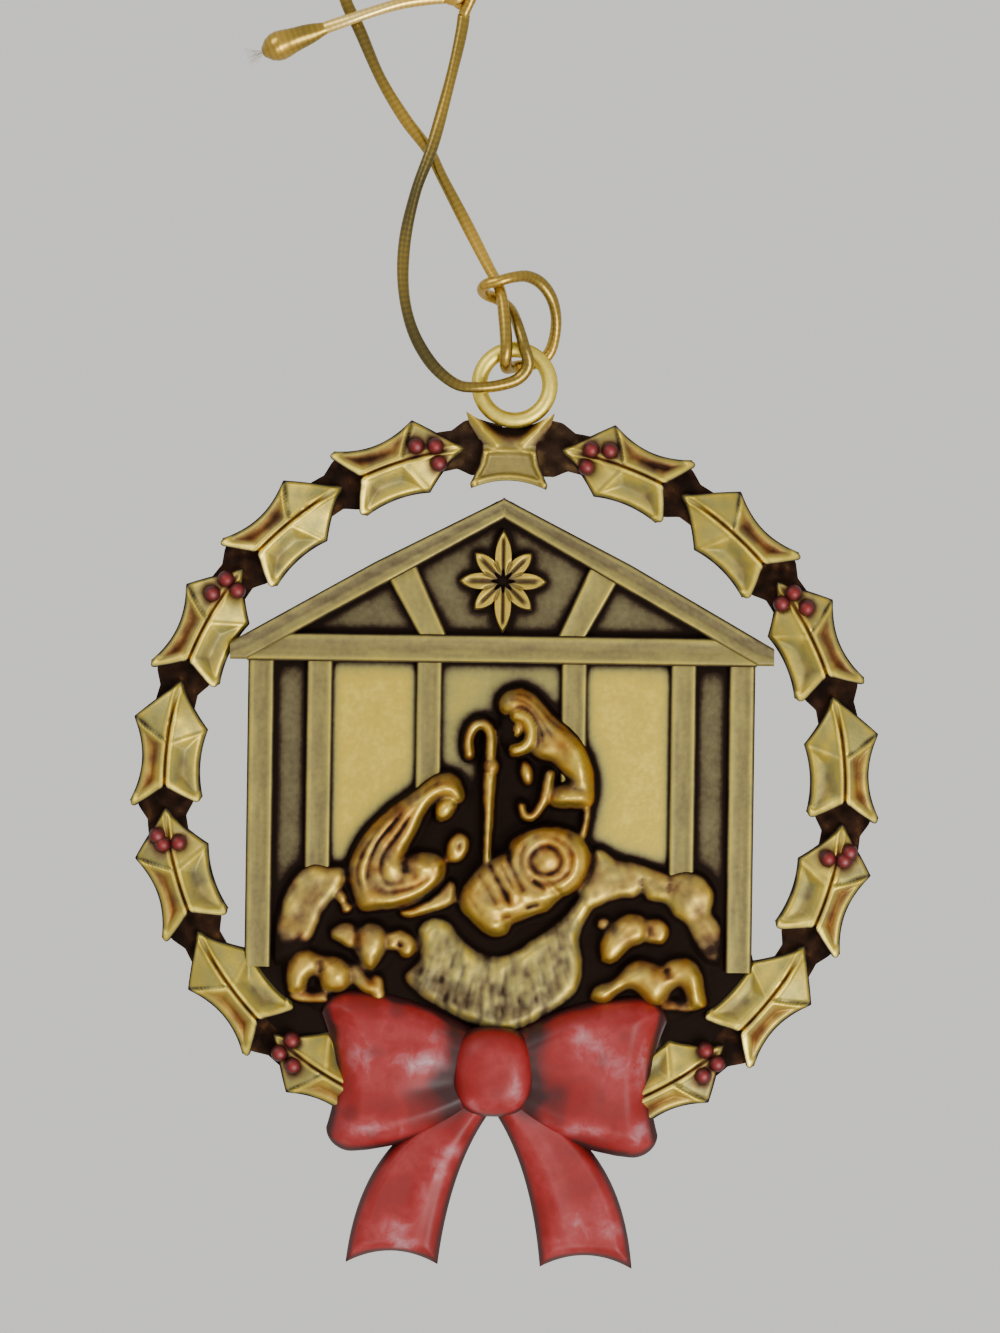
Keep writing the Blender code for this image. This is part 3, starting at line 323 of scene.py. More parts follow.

# %% [markdown]
# ## The cord itself
# The cord is a tube that is a little flat: its radius swings as it goes round, and the flat turns along it.
# Its darkness along the way is painted shade and reflection, set by which way the film faces.

# %% Cord surfaces
def wound_cord(name, route, radius, flat=0.06, around=24, step=0.25, dark=(0.5,)):
    """Tube of radius r (1 - flat (1 - cos 2(angle - turn))), the turn going round once in every CORD_TURN."""
    line = smooth_route(route, step)
    run = np.concatenate([[0.0], np.cumsum(np.linalg.norm(np.diff(line, axis=0), axis=1))])
    side, third = square_to(line)
    angle = np.linspace(0, 2 * math.pi, around, endpoint=False)
    radius = np.interp(run / run[-1], np.linspace(0, 1, np.size(radius)), np.atleast_1d(radius))[:, None]
    size = radius * (1 - flat * (1 - np.cos(2 * (angle - 2 * math.pi * run[:, None] / CORD_TURN))))
    spoke = np.cos(angle)[:, None] * side[:, None] + np.sin(angle)[:, None] * third[:, None]
    rings = line[:, None] + size[..., None] * spoke
    uv = np.stack(np.broadcast_arrays(angle * radius, run[:, None]), axis=-1)
    # Painted shade and reflection: the given darkness spread along the cord, and a slow swing of sheen.
    shade = np.interp(run / run[-1], np.linspace(0, 1, len(dark)), dark) + 0.08 * np.sin(run / 2.3 + 1)
    points = in_frame(rings[..., 0], rings[..., 1], rings[..., 2] + RING_UP)
    mesh = tube_mesh(name, points[None], np.broadcast_to(shade[:, None], size.shape), uv)
    made = new_object(name, mesh, cord_film)
    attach(made, "root")
    print(name, round(run[-1], 1), "mm")
    return made, line + np.array([0.0, 0.0, RING_UP])


# Painted shade and reflection: how dark the film is made at every tenth of the way, by where it faces the
# room
CORD_SHADES = [0.4, 0.66, 0.64, 0.4, 0.42, 0.34, 0.46, 0.6, 0.5, 0.5, 0.4]
hanging_cord, cord_line = wound_cord("gold_hanging_cord", CORD_ROUTE, CORD_DIAMETER / 2, dark=CORD_SHADES)
# The end's darkness along its way is painted shade and reflection as well.
cord_end, _ = wound_cord("gold_cord_end", TAIL_ROUTE, CORD_DIAMETER / 2, dark=(0.1, 0.12, 0.2))
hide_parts("hanging_cord")
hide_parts("cord_tail")

# %% [markdown]
# ## Knots of the cord
# The loop is closed by a small knot at the top of the photograph, drawn as one cord wound over itself. The
# end of the tail was knotted and then melted to stop it fraying: a lump of wound film that runs out into a
# few cloudy threads.

# %% Knots
KNOT_PLACE = np.array([-5.35, 1.0, 33.85])
KNOT_CORD_RADIUS = 0.5  # the cord is pulled a little thinner here
KNOT_TURNS = [
    (0.08, 0.0, -2.1), (0.15, 0.1, -1.3), (0.5, 0.35, -0.5), (0.72, 0.5, 0.3), (0.2, 0.45, 0.8),
    (-0.6, 0.1, 0.65), (-0.7, -0.45, 0.0), (-0.2, -0.55, -0.55), (0.6, -0.35, -0.3), (0.7, -0.1, 0.4),
    (0.0, 0.55, 0.3), (-0.5, 0.6, -0.2), (-0.9, 0.3, -0.3), (-1.5, 0.0, -0.05),
]
TAIL_KNOT_ROUTE = [
    (-17.2, 1.35, 30.9), (-17.8, 1.3, 30.68), (-19.4, 1.2, 30.05), (-21.2, 1.1, 29.30), (-22.8, 1.0, 28.60),
]
TAIL_KNOT_RADII = [0.5, 0.62, 0.78, 0.9, 1.0, 1.08, 1.2, 1.36, 1.48, 1.44, 1.16, 0.5]
THREADS, THREAD_LONG, THREAD_RADIUS = 11, 1.9, 0.09
CORD_EXIT_UP = -43.2  # height of the exit, where the first strand comes free above the ring
FIRST_STRAND = 200  # the first places of the line, which all lie on that strand


def bare_threads(name, root, heading):
    """Fan of tapering threads, each along the heading plus a sideways share that grows with the square."""
    along = np.linspace(0, 1, 9)[None, :, None]
    turn = (np.arange(THREADS) * 2.4)[:, None, None]
    spread = 0.75 * np.sqrt((np.arange(THREADS) + 0.5) / THREADS)[:, None, None]
    side = np.cross(heading, (0.0, 1.0, 0.0))
    third = np.cross(heading, side)
    fan = np.cos(turn) * side + np.sin(turn) * third
    line = root + THREAD_LONG * (along * heading + spread * (0.35 * along + 0.5 * along**2) * fan)
    angle = np.linspace(0, 2 * math.pi, 8, endpoint=False)[:, None]
    spoke = np.cos(angle) * side + np.sin(angle) * third
    rings = line[:, :, None] + THREAD_RADIUS * (1 - 0.7 * along[..., None]) * spoke
    points = in_frame(rings[..., 0], rings[..., 1], rings[..., 2] + RING_UP)
    uv = np.zeros((*points.shape[:-1], 2))
    made = new_object(name, tube_mesh(name, points, np.zeros(points.shape[:-1]), uv), bare_thread)
    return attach(made, "root")


knot_route = [KNOT_PLACE + turn for turn in KNOT_TURNS]
# The darkness given to the knot and the lump is painted shade and highlight along their way.
knot, _ = wound_cord("cord_knot_turns", knot_route, KNOT_CORD_RADIUS, 0.06, 20, 0.12, (0.3, 0.3))
tail_lump, lump_line = wound_cord(
    "cord_end_lump", TAIL_KNOT_ROUTE, TAIL_KNOT_RADII, 0.07, 28, 0.12, (0.3, 0.42, 0.3, 0.45),
)
tail_heading = (lump_line[-1] - lump_line[-9]) / np.linalg.norm(lump_line[-1] - lump_line[-9])
threads = bare_threads("cord_end_threads", lump_line[-5] - np.array([0.0, 0.0, RING_UP]), tail_heading)
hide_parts("cord_knot")
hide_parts("tail_knot")
first_strand = cord_line[:FIRST_STRAND]
cord_exit = first_strand[np.argmin(np.abs(first_strand[:, 2] - CORD_EXIT_UP))]
in_frame(*cord_exit)
in_frame(*cord_line.T)

# %% [markdown]
# ## Antiqued brass
# The casting is plated with brass, dipped in a darkening bath and rubbed. The bath's dark stays in the
# hollows, and what stands out is rubbed back to gold. So each piece carries a value called patina_and_shade,
# 0 where it is rubbed bright and 1 where it is darkest: the bath's dark, and on some pieces painted shade as
# well. A second value, warmth, says what the dark looks like before it is black: 0 is the greyish olive film
# of the flat parts that were wiped, 1 the orange-brown of the figures, where it was thick.

# %% Antiqued brass material
CAST_GRAIN = 0.5  # the real skin of the casting is finer, about 0.15 mm, too fine to show
STAIN_SPAN = 2.6  # patches where the rubbing took off more or less

# Brass plate over cast zinc, antiqued and relieved: a fine pitted skin, satin where bright, dull where dark.
antiqued_brass, tree, output = new_material("antiqued_brass_plate")
place = add_node(tree, "ShaderNodeTexCoord").outputs["Object"]
dark = add_node(tree, "ShaderNodeAttribute", {"attribute_name": "patina_and_shade"}).outputs["Fac"]
warmth = add_node(tree, "ShaderNodeAttribute", {"attribute_name": "warmth"}).outputs["Fac"]
grain = add_node(
    tree, "ShaderNodeTexNoise", None,
    {"Vector": place, "Scale": 1 / (CAST_GRAIN * MM), "Detail": 4.0, "Roughness": 0.6},
).outputs["Fac"]
stain = add_node(
    tree, "ShaderNodeTexNoise", None, {"Vector": place, "Scale": 1 / (STAIN_SPAN * MM), "Detail": 3.0},
).outputs["Fac"]
speckled = add_node(
    tree, "ShaderNodeMath", {"operation": "MULTIPLY_ADD"}, {0: grain, 1: 0.16, 2: dark},
).outputs["Value"]
stained = add_node(
    tree, "ShaderNodeMath", {"operation": "MULTIPLY_ADD"}, {0: stain, 1: 0.16, 2: speckled},
).outputs["Value"]
wiped_tint = add_node(
    tree, "ShaderNodeValToRGB", None, {"Fac": stained},
    [
        (0.0, "fbe992"), (0.14, "f0d960"), (0.27, "c4ab44"), (0.47, "958c50"), (0.63, "6b6347"),
        (0.81, "342920"), (0.93, "191210"),
    ],
)
thick_tint = add_node(
    tree, "ShaderNodeValToRGB", None, {"Fac": stained},
    [
        (0.05, "eac95c"), (0.27, "c7a142"), (0.47, "9f752e"), (0.65, "6f431d"), (0.81, "2f1b12"),
        (0.93, "160f0d"),
    ],
)
tint = add_node(
    tree, "ShaderNodeMix", {"data_type": "RGBA"},
    {0: warmth, 6: wiped_tint.outputs["Color"], 7: thick_tint.outputs["Color"]},
)
shine = add_node(
    tree, "ShaderNodeMapRange", None,
    {"Value": stained, "From Min": 0.3, "From Max": 0.95, "To Min": 1.0, "To Max": 0.3},
)
rough = add_node(
    tree, "ShaderNodeMapRange", None,
    {"Value": stained, "From Min": 0.2, "From Max": 1.0, "To Min": 0.45, "To Max": 0.65},
)
skin = add_node(tree, "ShaderNodeBump", None, {"Height": grain, "Strength": 0.3, "Distance": 0.08 * MM})
surface = add_node(
    tree, "ShaderNodeBsdfPrincipled", None,
    {
        "Base Color": tint.outputs[2], "Metallic": shine.outputs["Result"],
        "Roughness": rough.outputs["Result"], "Normal": skin.outputs["Normal"],
        "Specular IOR Level": 0.25, "Specular Tint": colour("8a6a45"),
    },
)
tree.links.new(surface.outputs["BSDF"], output.inputs["Surface"])
print(antiqued_brass.name, "has", len(tree.nodes), "nodes")

# %% [markdown]
# ## Red enamel
# The bow and the berries are painted with translucent red enamel after plating. The paint is thin on the
# heights, where it looks pale and worn, and is dark along the edges, where it pools and where painted shade
# lies on the rounded edges. It carries the same patina_and_shade value, and a second value called
# wear_and_sheen, high where it was rubbed thin and at painted highlights.

# %% Red enamel material
BRUSH_SPAN = 1.3  # blotches of thin paint

# Cold enamel, brushed on and rubbed: clear red, pinkish grey where worn and at painted highlights, almost
# black along the edges.
red_enamel, tree, output = new_material("brushed_red_enamel")
place = add_node(tree, "ShaderNodeTexCoord").outputs["Object"]
dark = add_node(tree, "ShaderNodeAttribute", {"attribute_name": "patina_and_shade"}).outputs["Fac"]
worn_and_lit = add_node(tree, "ShaderNodeAttribute", {"attribute_name": "wear_and_sheen"}).outputs["Fac"]
blotch = add_node(
    tree, "ShaderNodeTexNoise", None,
    {"Vector": place, "Scale": 1 / (BRUSH_SPAN * MM), "Detail": 4.0, "Roughness": 0.6, "Distortion": 0.5},
).outputs["Fac"]
thin_and_lit = add_node(tree, "ShaderNodeMath", {"operation": "MULTIPLY"}, {0: blotch, 1: worn_and_lit}).outputs["Value"]
worn_and_lit_red = add_node(
    tree, "ShaderNodeValToRGB", None, {"Fac": thin_and_lit},
    [(0.0, "680201"), (0.15, "7e0908"), (0.33, "8c2426"), (0.62, "9b5a5f"), (1.0, "ad8b8f")],
)
edge = add_node(
    tree, "ShaderNodeMath", {"operation": "MULTIPLY_ADD"}, {0: blotch, 1: 0.35, 2: dark},
).outputs["Value"]
edge_share = add_node(
    tree, "ShaderNodeMapRange", None, {"Value": edge, "From Min": 0.3, "From Max": 0.95},
).outputs["Result"]
tint = add_node(
    tree, "ShaderNodeMix", {"data_type": "RGBA"},
    {0: edge_share, 6: worn_and_lit_red.outputs["Color"], 7: colour("2e0c0c")},
)
skin = add_node(tree, "ShaderNodeBump", None, {"Height": blotch, "Strength": 0.2, "Distance": 0.1 * MM})
surface = add_node(
    tree, "ShaderNodeBsdfPrincipled", None,
    {
        "Base Color": tint.outputs[2], "Roughness": 0.5, "Normal": skin.outputs["Normal"],
        "Specular IOR Level": 0.35, "Coat Weight": 0.06, "Coat Roughness": 0.3,
    },
)
tree.links.new(surface.outputs["BSDF"], output.inputs["Surface"])
print(red_enamel.name, "has", len(tree.nodes), "nodes")

# %% [markdown]
# ## A piece of relief
# Every part of the casting is a low form on a flat back. One function makes them all: a grid of places with
# a height at each, walls down from its edge, and a flat back. The places are millimetres from the middle
# of the wreath and from the flat back of the casting.

# %% Relief piece
BACK_PATINA, BACK_TONE = 0.4, 0.1  # the flat back is evenly wiped, and low in wear and warmth
casting_pieces = []


def relief(name, right, up, height, patina_and_shade, finish, floor=0.1, wear_and_sheen=0.0, warmth=0.5, sharp_deg=50):
    """Closed body under a grid of points: the grid is its front, and its rim dropped to the floor closes it.

    Faces run the same way round whatever way the grid runs: the sign of its area in the plane of the
    relief says which. Edges that turn by more than sharp_deg stay crisp.
    """
    front = on_casting(right, height, up)
    rows, columns = front.shape[:2]
    number = np.arange(rows * columns).reshape(rows, columns)
    rim = np.concatenate([number[0, :-1], number[:-1, -1], number[-1, :0:-1], number[:0:-1, 0]])
    across, along = np.asarray(right).ravel()[rim], np.asarray(up).ravel()[rim]
    turned = np.sum(across * np.roll(along, -1) - along * np.roll(across, -1)) < 0
    back = on_casting(across, floor, along)
    low = rows * columns + np.arange(len(rim))
    quads = np.stack([number[:-1, :-1], number[:-1, 1:], number[1:, 1:], number[1:, :-1]], axis=-1)
    walls = np.stack([np.roll(rim, -1), rim, low, np.roll(low, -1)], axis=-1)
    faces = [*quads.reshape(-1, 4).tolist(), *walls.tolist(), low[::-1].tolist()]
    if turned:
        faces = [face[::-1] for face in faces]
    mesh = bpy.data.meshes.new(name)
    mesh.from_pydata(np.concatenate([front.reshape(-1, 3), back]), [], faces)
    shade = np.broadcast_to(patina_and_shade, front.shape[:2]).ravel()
    store_values(mesh, np.concatenate([shade, np.full(len(rim), BACK_PATINA)]))
    for word, value in (("wear_and_sheen", wear_and_sheen), ("warmth", warmth)):
        kept = mesh.attributes.new(word, "FLOAT", "POINT")
        value = np.broadcast_to(value, front.shape[:2]).ravel()
        value = np.concatenate([value, np.full(len(rim), BACK_TONE)])
        kept.data.foreach_set("value", value.astype(np.float32))
    mesh.shade_smooth()
    mesh.set_sharp_from_angle(angle=math.radians(sharp_deg))
    made = new_object(name, mesh, finish)
    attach(made, "root")
    casting_pieces.append(made)


print("the flat back lies", -BACK_FORWARDS, "mm behind the hanging point")

# %% [markdown]
# ## Bells, steps and strokes
# A cast form is drawn by how far each place lies from an edge or a line. One short function measures that
# distance, and two turn it into a ridge, a groove or a shoulder. A fourth gives the uneven marks of a tool
# and a rubbing cloth, from a table of seeded random numbers, so they come out the same on each run; what is
# added to their places only picks another part of the table. All take whole arrays, so a piece is worked
# out at once.

# %% Bells, steps and strokes
def bump_at(distance, width):
    """A bell of height 1 and the given width round distance 0."""
    return np.exp(-((distance / width) ** 2))


def step_up(value, start, end):
    """0 before the start, 1 after the end, and 3 t^2 - 2 t^3 between."""
    t = np.clip((value - start) / (end - start), 0, 1)
    return t * t * (3 - 2 * t)


def to_line(x, z, start, end):
    """Distance from each place to the stretch between two points."""
    (ax, az), (bx, bz) = start, end
    share = np.clip(((x - ax) * (bx - ax) + (z - az) * (bz - az)) / ((bx - ax) ** 2 + (bz - az) ** 2), 0, 1)
    return np.hypot(x - ax - share * (bx - ax), z - az - share * (bz - az))


def strokes(u, v, seed):
    """Smooth noise from a table of seeded random numbers, one for each whole step of u and v."""
    table = np.random.default_rng(seed).random((97, 89))
    low_u, low_v = np.floor(u).astype(int), np.floor(v).astype(int)
    s, t = u - low_u, v - low_v
    s, t = s * s * (3 - 2 * s), t * t * (3 - 2 * t)
    a, b = table[low_u % 97, low_v % 89], table[(low_u + 1) % 97, low_v % 89]
    c, d = table[low_u % 97, (low_v + 1) % 89], table[(low_u + 1) % 97, (low_v + 1) % 89]
    return (a * (1 - s) + b * s) * (1 - t) + (c * (1 - s) + d * s) * t


print("a step from 0 to 1 is at", step_up(0.25, 0, 1), "after a quarter of its way")

# %% [markdown]
# ## Holly leaves
# Fourteen leaves follow each other round the wreath, seven on each side, each tucked under the foot of the
# one above it. A leaf is laid out along the circle: the angle gives how far it is from its tip, and the
# radius how far from its rib. On it stand a cut rib with a ridge on each side, two cut veins that run from
# the rib to the upper spikes, scooped panels below them, and a raised rim along the hollow foot. The outer
# panels keep more of the bath than the inner ones, and look orange-brown; towards the top of the wreath,
# where they face up, they also get painted shade.

# %% Outline of a leaf
LEAVES_A_SIDE = 7
FIRST_TIP_DEG = 8.0
LEAF_PITCH_DEG = 21.7
LEAF_LENGTH = WREATH_RADIUS * math.radians(LEAF_PITCH_DEG)
LEAF_HALF_WIDTH = 3.3
OUTER_WAIST, INNER_WAIST = 2.1, 3.0
SPIKE_AT, WAIST_AT = 0.355, 0.66  # shares of a leaf, from its tip
JUNCTION_AT = 0.5  # where the veins leave the rib
LEAF_EDGE, LEAF_CREST = 1.4, 2.6
# Share of a leaf from its tip, and millimetres out from the rib, for each berry of a leaf
BERRIES = {
    1: [(0.23, 0.55), (0.23, -1.00), (0.37, 0.92)],
    3: [(0.16, 0.58), (0.18, -0.80), (0.31, 0.84)],
    5: [(0.22, 0.95), (0.30, -0.80), (0.29, 0.60)],
    7: [(0.15, -0.72), (0.14, 0.83), (0.28, 0.95)],
}


def leaf_tip_deg(index):
    """Angle of a leaf's tip from the top of the wreath; the first leaf is the topmost."""
    return FIRST_TIP_DEG + (index - 1) * LEAF_PITCH_DEG


def leaf_width(share, waist):
    """Rib to edge: out with share^1.15 to the upper spike, then in to the waist and out with the square."""
    tip_side = LEAF_HALF_WIDTH * (share / SPIKE_AT) ** 1.15
    reach = np.where(share < WAIST_AT, WAIST_AT - SPIKE_AT, 0.97 - WAIST_AT)
    side = waist + (LEAF_HALF_WIDTH - waist) * np.minimum(np.abs(share - WAIST_AT) / reach, 1.0) ** 2
    return np.where(share < SPIKE_AT, tip_side, side)


spike_width = 2 * float(leaf_width(np.array(SPIKE_AT), OUTER_WAIST))
print("a leaf is", round(spike_width, 2), "mm wide at its upper spikes")

# %% [markdown]
# ## The forms on a leaf
# Each form is a bell or a step of the distance to its line. Ridges raise the leaf and are rubbed bright; cuts
# and scoops sink it and keep the bath. A low dome lifts the leaf along its rib.

# %% Leaves
def holly_leaf(name, index, side):
    """One leaf: rows run from tip to foot, columns from inner to outer edge; its forms are as said above."""
    across = np.linspace(-1, 1, 65)
    rows = np.linspace(0.015, 1, 68)[:, None]
    foot = 0.845 + 0.14 * np.minimum(np.abs(across) / 0.8, 1.0) - 0.04 * step_up(np.abs(across), 0.86, 1.0)
    share = rows * np.where(rows > SPIKE_AT, 1 + (foot - 1) * (rows - SPIKE_AT) / (1 - SPIKE_AT), 1.0)
    width = np.where(across > 0, leaf_width(share, OUTER_WAIST), leaf_width(share, INNER_WAIST))
    out, down = across * width, share * LEAF_LENGTH
    rib = np.abs(out)
    outer = step_up(out, -0.2, 0.2)
    from_foot = (foot - share) * LEAF_LENGTH
    from_side = (1 - np.abs(across)) * width
    junction, spike = (0.0, JUNCTION_AT * LEAF_LENGTH), (LEAF_HALF_WIDTH * 0.93, SPIKE_AT * LEAF_LENGTH)
    vein = to_line(rib, down, junction, spike)
    below = down - spike[1] - (junction[1] - spike[1]) * (1 - rib / spike[0])
    dome = 1 - (np.clip(rib / LEAF_HALF_WIDTH, 0, 1)) ** 1.3
    height = LEAF_EDGE + (LEAF_CREST - LEAF_EDGE) * dome * step_up(share, -0.2, 0.35)
    inside = np.minimum(np.minimum(rib - 0.4, below - 0.35), np.minimum(from_foot - 0.75, from_side - 0.25))
    scoop = step_up(inside, 0, 1.25)
    outer_panel = outer * step_up(inside, -0.15, 0.65)
    rim = step_up(1.2 - from_foot, 0.3, 0.7)
    vein_ridge = (0.35 + 0.65 * outer) * bump_at(below - 0.36, 0.2) * step_up(rib, 0.2, 0.7)
    ribs = bump_at(rib - 0.3, 0.17) + vein_ridge
    berried = np.zeros(share.shape)
    for berry_share, berry_out in BERRIES.get(index, []):
        near = np.hypot(down - berry_share * LEAF_LENGTH, out - berry_out)
        berried = np.maximum(berried, bump_at(near, 0.95))
    rib_cut = bump_at(rib, 0.12) * step_up(share, 0.1, 0.3) * (1 - berried)
    vein_cut = bump_at(vein, 0.13) * step_up(rib, 0, 0.3) * (0.2 + 0.8 * outer)
    vein_cut = vein_cut * (1 - 0.6 * bump_at(rib - 1.2, 0.8))
    height = height + 0.16 * ribs + 0.3 * rim * (1 - dome) - 0.45 * scoop - 0.3 * rib_cut - 0.3 * vein_cut
    height = np.minimum(height, LEAF_CREST) - 0.3 * bump_at(from_side, 0.2)
    mottle = strokes(out * 1.3 + 40 + index, down * 1.1 + 30 + 7 * index, 31) - 0.5
    shade = 0.2 + 0.34 * rib_cut + 0.34 * vein_cut + scoop * (0.12 + 0.14 * step_up(share, 0.5, 0.85))
    angle = np.radians(leaf_tip_deg(index) + share * LEAF_PITCH_DEG)
    # The outer panels are darker: the bath's dark, and painted shade that grows towards the top of the
    # wreath, where they face up.
    shade = shade + 0.05 * outer + (0.13 + 0.1 * np.cos(angle)) * outer_panel + 0.22 * mottle - 0.17 * ribs
    shade = shade - 0.2 * rim * step_up(from_foot, 0.05, 0.2) - 0.1 * bump_at(from_side - 0.4, 0.2)
    # Dark along the very edge, with the bath's dark and painted shade where the edge turns down; dark round
    # the berries.
    shade = shade + 0.55 * bump_at(np.minimum(from_side, from_foot), 0.15) + 0.6 * berried
    height = height - 0.4 * berried
    warmth = np.clip(0.75 * outer_panel + 0.3 * scoop * step_up(share, 0.5, 0.85) + rib_cut + berried, 0, 1)
    radius = WREATH_RADIUS + out
    right, up = side * radius * np.sin(angle), radius * np.cos(angle)
    relief(name, right, up, height, shade, antiqued_brass, warmth=warmth)


for side, word in ((-1, "left"), (1, "right")):
    for index in range(1, LEAVES_A_SIDE + 1):
        holly_leaf(f"holly_leaf_{word}_{index}", index, side)
print(len(casting_pieces), "leaves,", round(LEAF_LENGTH, 2), "mm each")

# %% [markdown]
# ## Ground between the leaves, and berries
# Each leaf is joined to the next by a small sunk ground, dark because no cloth reaches it, and on every
# second one lie three berries of red enamel. A berry is a half ball. To lay a square grid on a disc
# without a pole, each of its two directions is drawn in by the other: x sqrt(1 - z^2 / 2).

# %% Ground and berries
LEAF_GROUND_HEIGHT = 1.1
LEAF_GROUND_REACH_DEG = math.degrees(1.2 / WREATH_RADIUS)  # 1.2 mm along the circle
BERRY_RADIUS, BERRY_LEVEL = 0.74, 2.2


def disc(count):
    """Square grid drawn in to a disc of radius 1: right, up and the distance from the middle."""
    line = np.linspace(-1, 1, count)
    a, b = line[:, None], line[None, :]
    right, up = a * np.sqrt(1 - b**2 / 2), b * np.sqrt(1 - a**2 / 2)
    return right, up, np.minimum(np.hypot(right, up), 1.0)


def berry(name, right, up):
    """Half ball: out by sin and up by cos of a quarter turn, with a painted highlight near the top and
    painted shade towards the foot.
    """
    a, b, far = disc(17)
    turn = far * math.pi / 2
    spread = BERRY_RADIUS * np.where(far > 0, np.sin(turn) / np.maximum(far, 1e-9), 1.0)
    height = BERRY_LEVEL + BERRY_RADIUS * np.cos(turn)
    # Painted shade, darker towards the foot of the ball.
    shade = 0.28 + 0.42 * step_up(far, 0.1, 0.8) + 0.3 * step_up(far, 0.85, 1.0)
    # Painted highlight: a pale spot just off the middle of the dome.
    wear_and_sheen = bump_at(np.hypot(a - 0.1, b + 0.1), 0.3)
    relief(name, right + a * spread, up + b * spread, height, shade, red_enamel, 0.9, wear_and_sheen)


for side, word in ((-1, "left"), (1, "right")):
    for index in range(1, LEAVES_A_SIDE + 1):
        tip = leaf_tip_deg(index)
        start = tip - 0.18 * LEAF_PITCH_DEG - LEAF_GROUND_REACH_DEG
        along = np.linspace(0, 1, 33)[:, None]
        angle = np.radians(start + (tip + 0.32 * LEAF_PITCH_DEG - start) * along) * side
        wide = 2.7 if index == LEAVES_A_SIDE else 2.5
        half = np.interp(along, [0, 0.15, 0.3, 0.45, 0.62, 1.0], [1.8, 2.1, wide, 2.4, 1.7, 1.8])
        radius = WREATH_RADIUS + half * np.linspace(-1, 1, 23)
        ripple = strokes(along * 9 + index * 5, radius * 1.4 + 7, 11)
        right, up = radius * np.sin(angle), radius * np.cos(angle)
        shade = (0.76 if index == 1 else 0.8) - 0.2 * ripple
        warmth = 0.5 if index == 1 else 0.8
        height = LEAF_GROUND_HEIGHT - 0.15 * ripple
        relief(f"ground_{word}_{index}", right, up, height, shade, antiqued_brass, 0.14, warmth=warmth)
        for number, (share, out) in enumerate(BERRIES.get(index, []), 1):
            turn = math.radians(tip + share * LEAF_PITCH_DEG) * side
            spot = (WREATH_RADIUS + out) * math.sin(turn), (WREATH_RADIUS + out) * math.cos(turn)
            berry(f"berry_{word}_{index}_{number}", *spot)
print(2 * sum(map(len, BERRIES.values())), "berries,", 2 * BERRY_RADIUS, "mm across")

# %% [markdown]
# ## Hanging ring and the leaf below it
# The ring is round wire cast in one with the top leaf. It is a torus: a circle of wire carried round a
# larger circle. Hands and the cord rub it, so it is the brightest brass. The leaf below it has four spikes;
# two ridges come down from the upper ones in a V, and the leaf is sunk behind the ring.

# %% Ring and top leaf
RING_EYE_RADIUS, RING_WIRE = 2.42, 0.69
RING_STEPS, WIRE_STEPS = 72, 20
TOP_LEAF_SHIFT = -0.3


def ring():
    """Torus: R + r cos a out from the middle and r sin a forwards, darker on its rear half."""
    turn = np.linspace(0, 2 * math.pi, RING_STEPS, endpoint=False)[:, None]
    round_wire = np.linspace(0, 2 * math.pi, WIRE_STEPS, endpoint=False)
    radius = RING_EYE_RADIUS + RING_WIRE * (1 + np.cos(round_wire))
    forwards = np.broadcast_to(RING_WIRE * np.sin(round_wire), (RING_STEPS, WIRE_STEPS))
    points = in_frame(radius * np.sin(turn), forwards, radius * np.cos(turn) + RING_UP)
    number = np.arange(RING_STEPS * WIRE_STEPS).reshape(RING_STEPS, WIRE_STEPS)
    nearby = np.roll(number, -1, axis=1)
    faces = np.stack([number, nearby, np.roll(nearby, -1, axis=0), np.roll(number, -1, axis=0)], axis=-1)
    mesh = bpy.data.meshes.new("hanging_ring")
    mesh.from_pydata(points.reshape(-1, 3), [], faces.reshape(-1, 4).tolist())
    store_values(mesh, 0.4 * (forwards < -0.1) + 0.2 * (forwards < 0.2) - 0.2)
    mesh.shade_smooth()
    made = new_object("hanging_ring", mesh, antiqued_brass)
    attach(made, "root")
    casting_pieces.append(made)


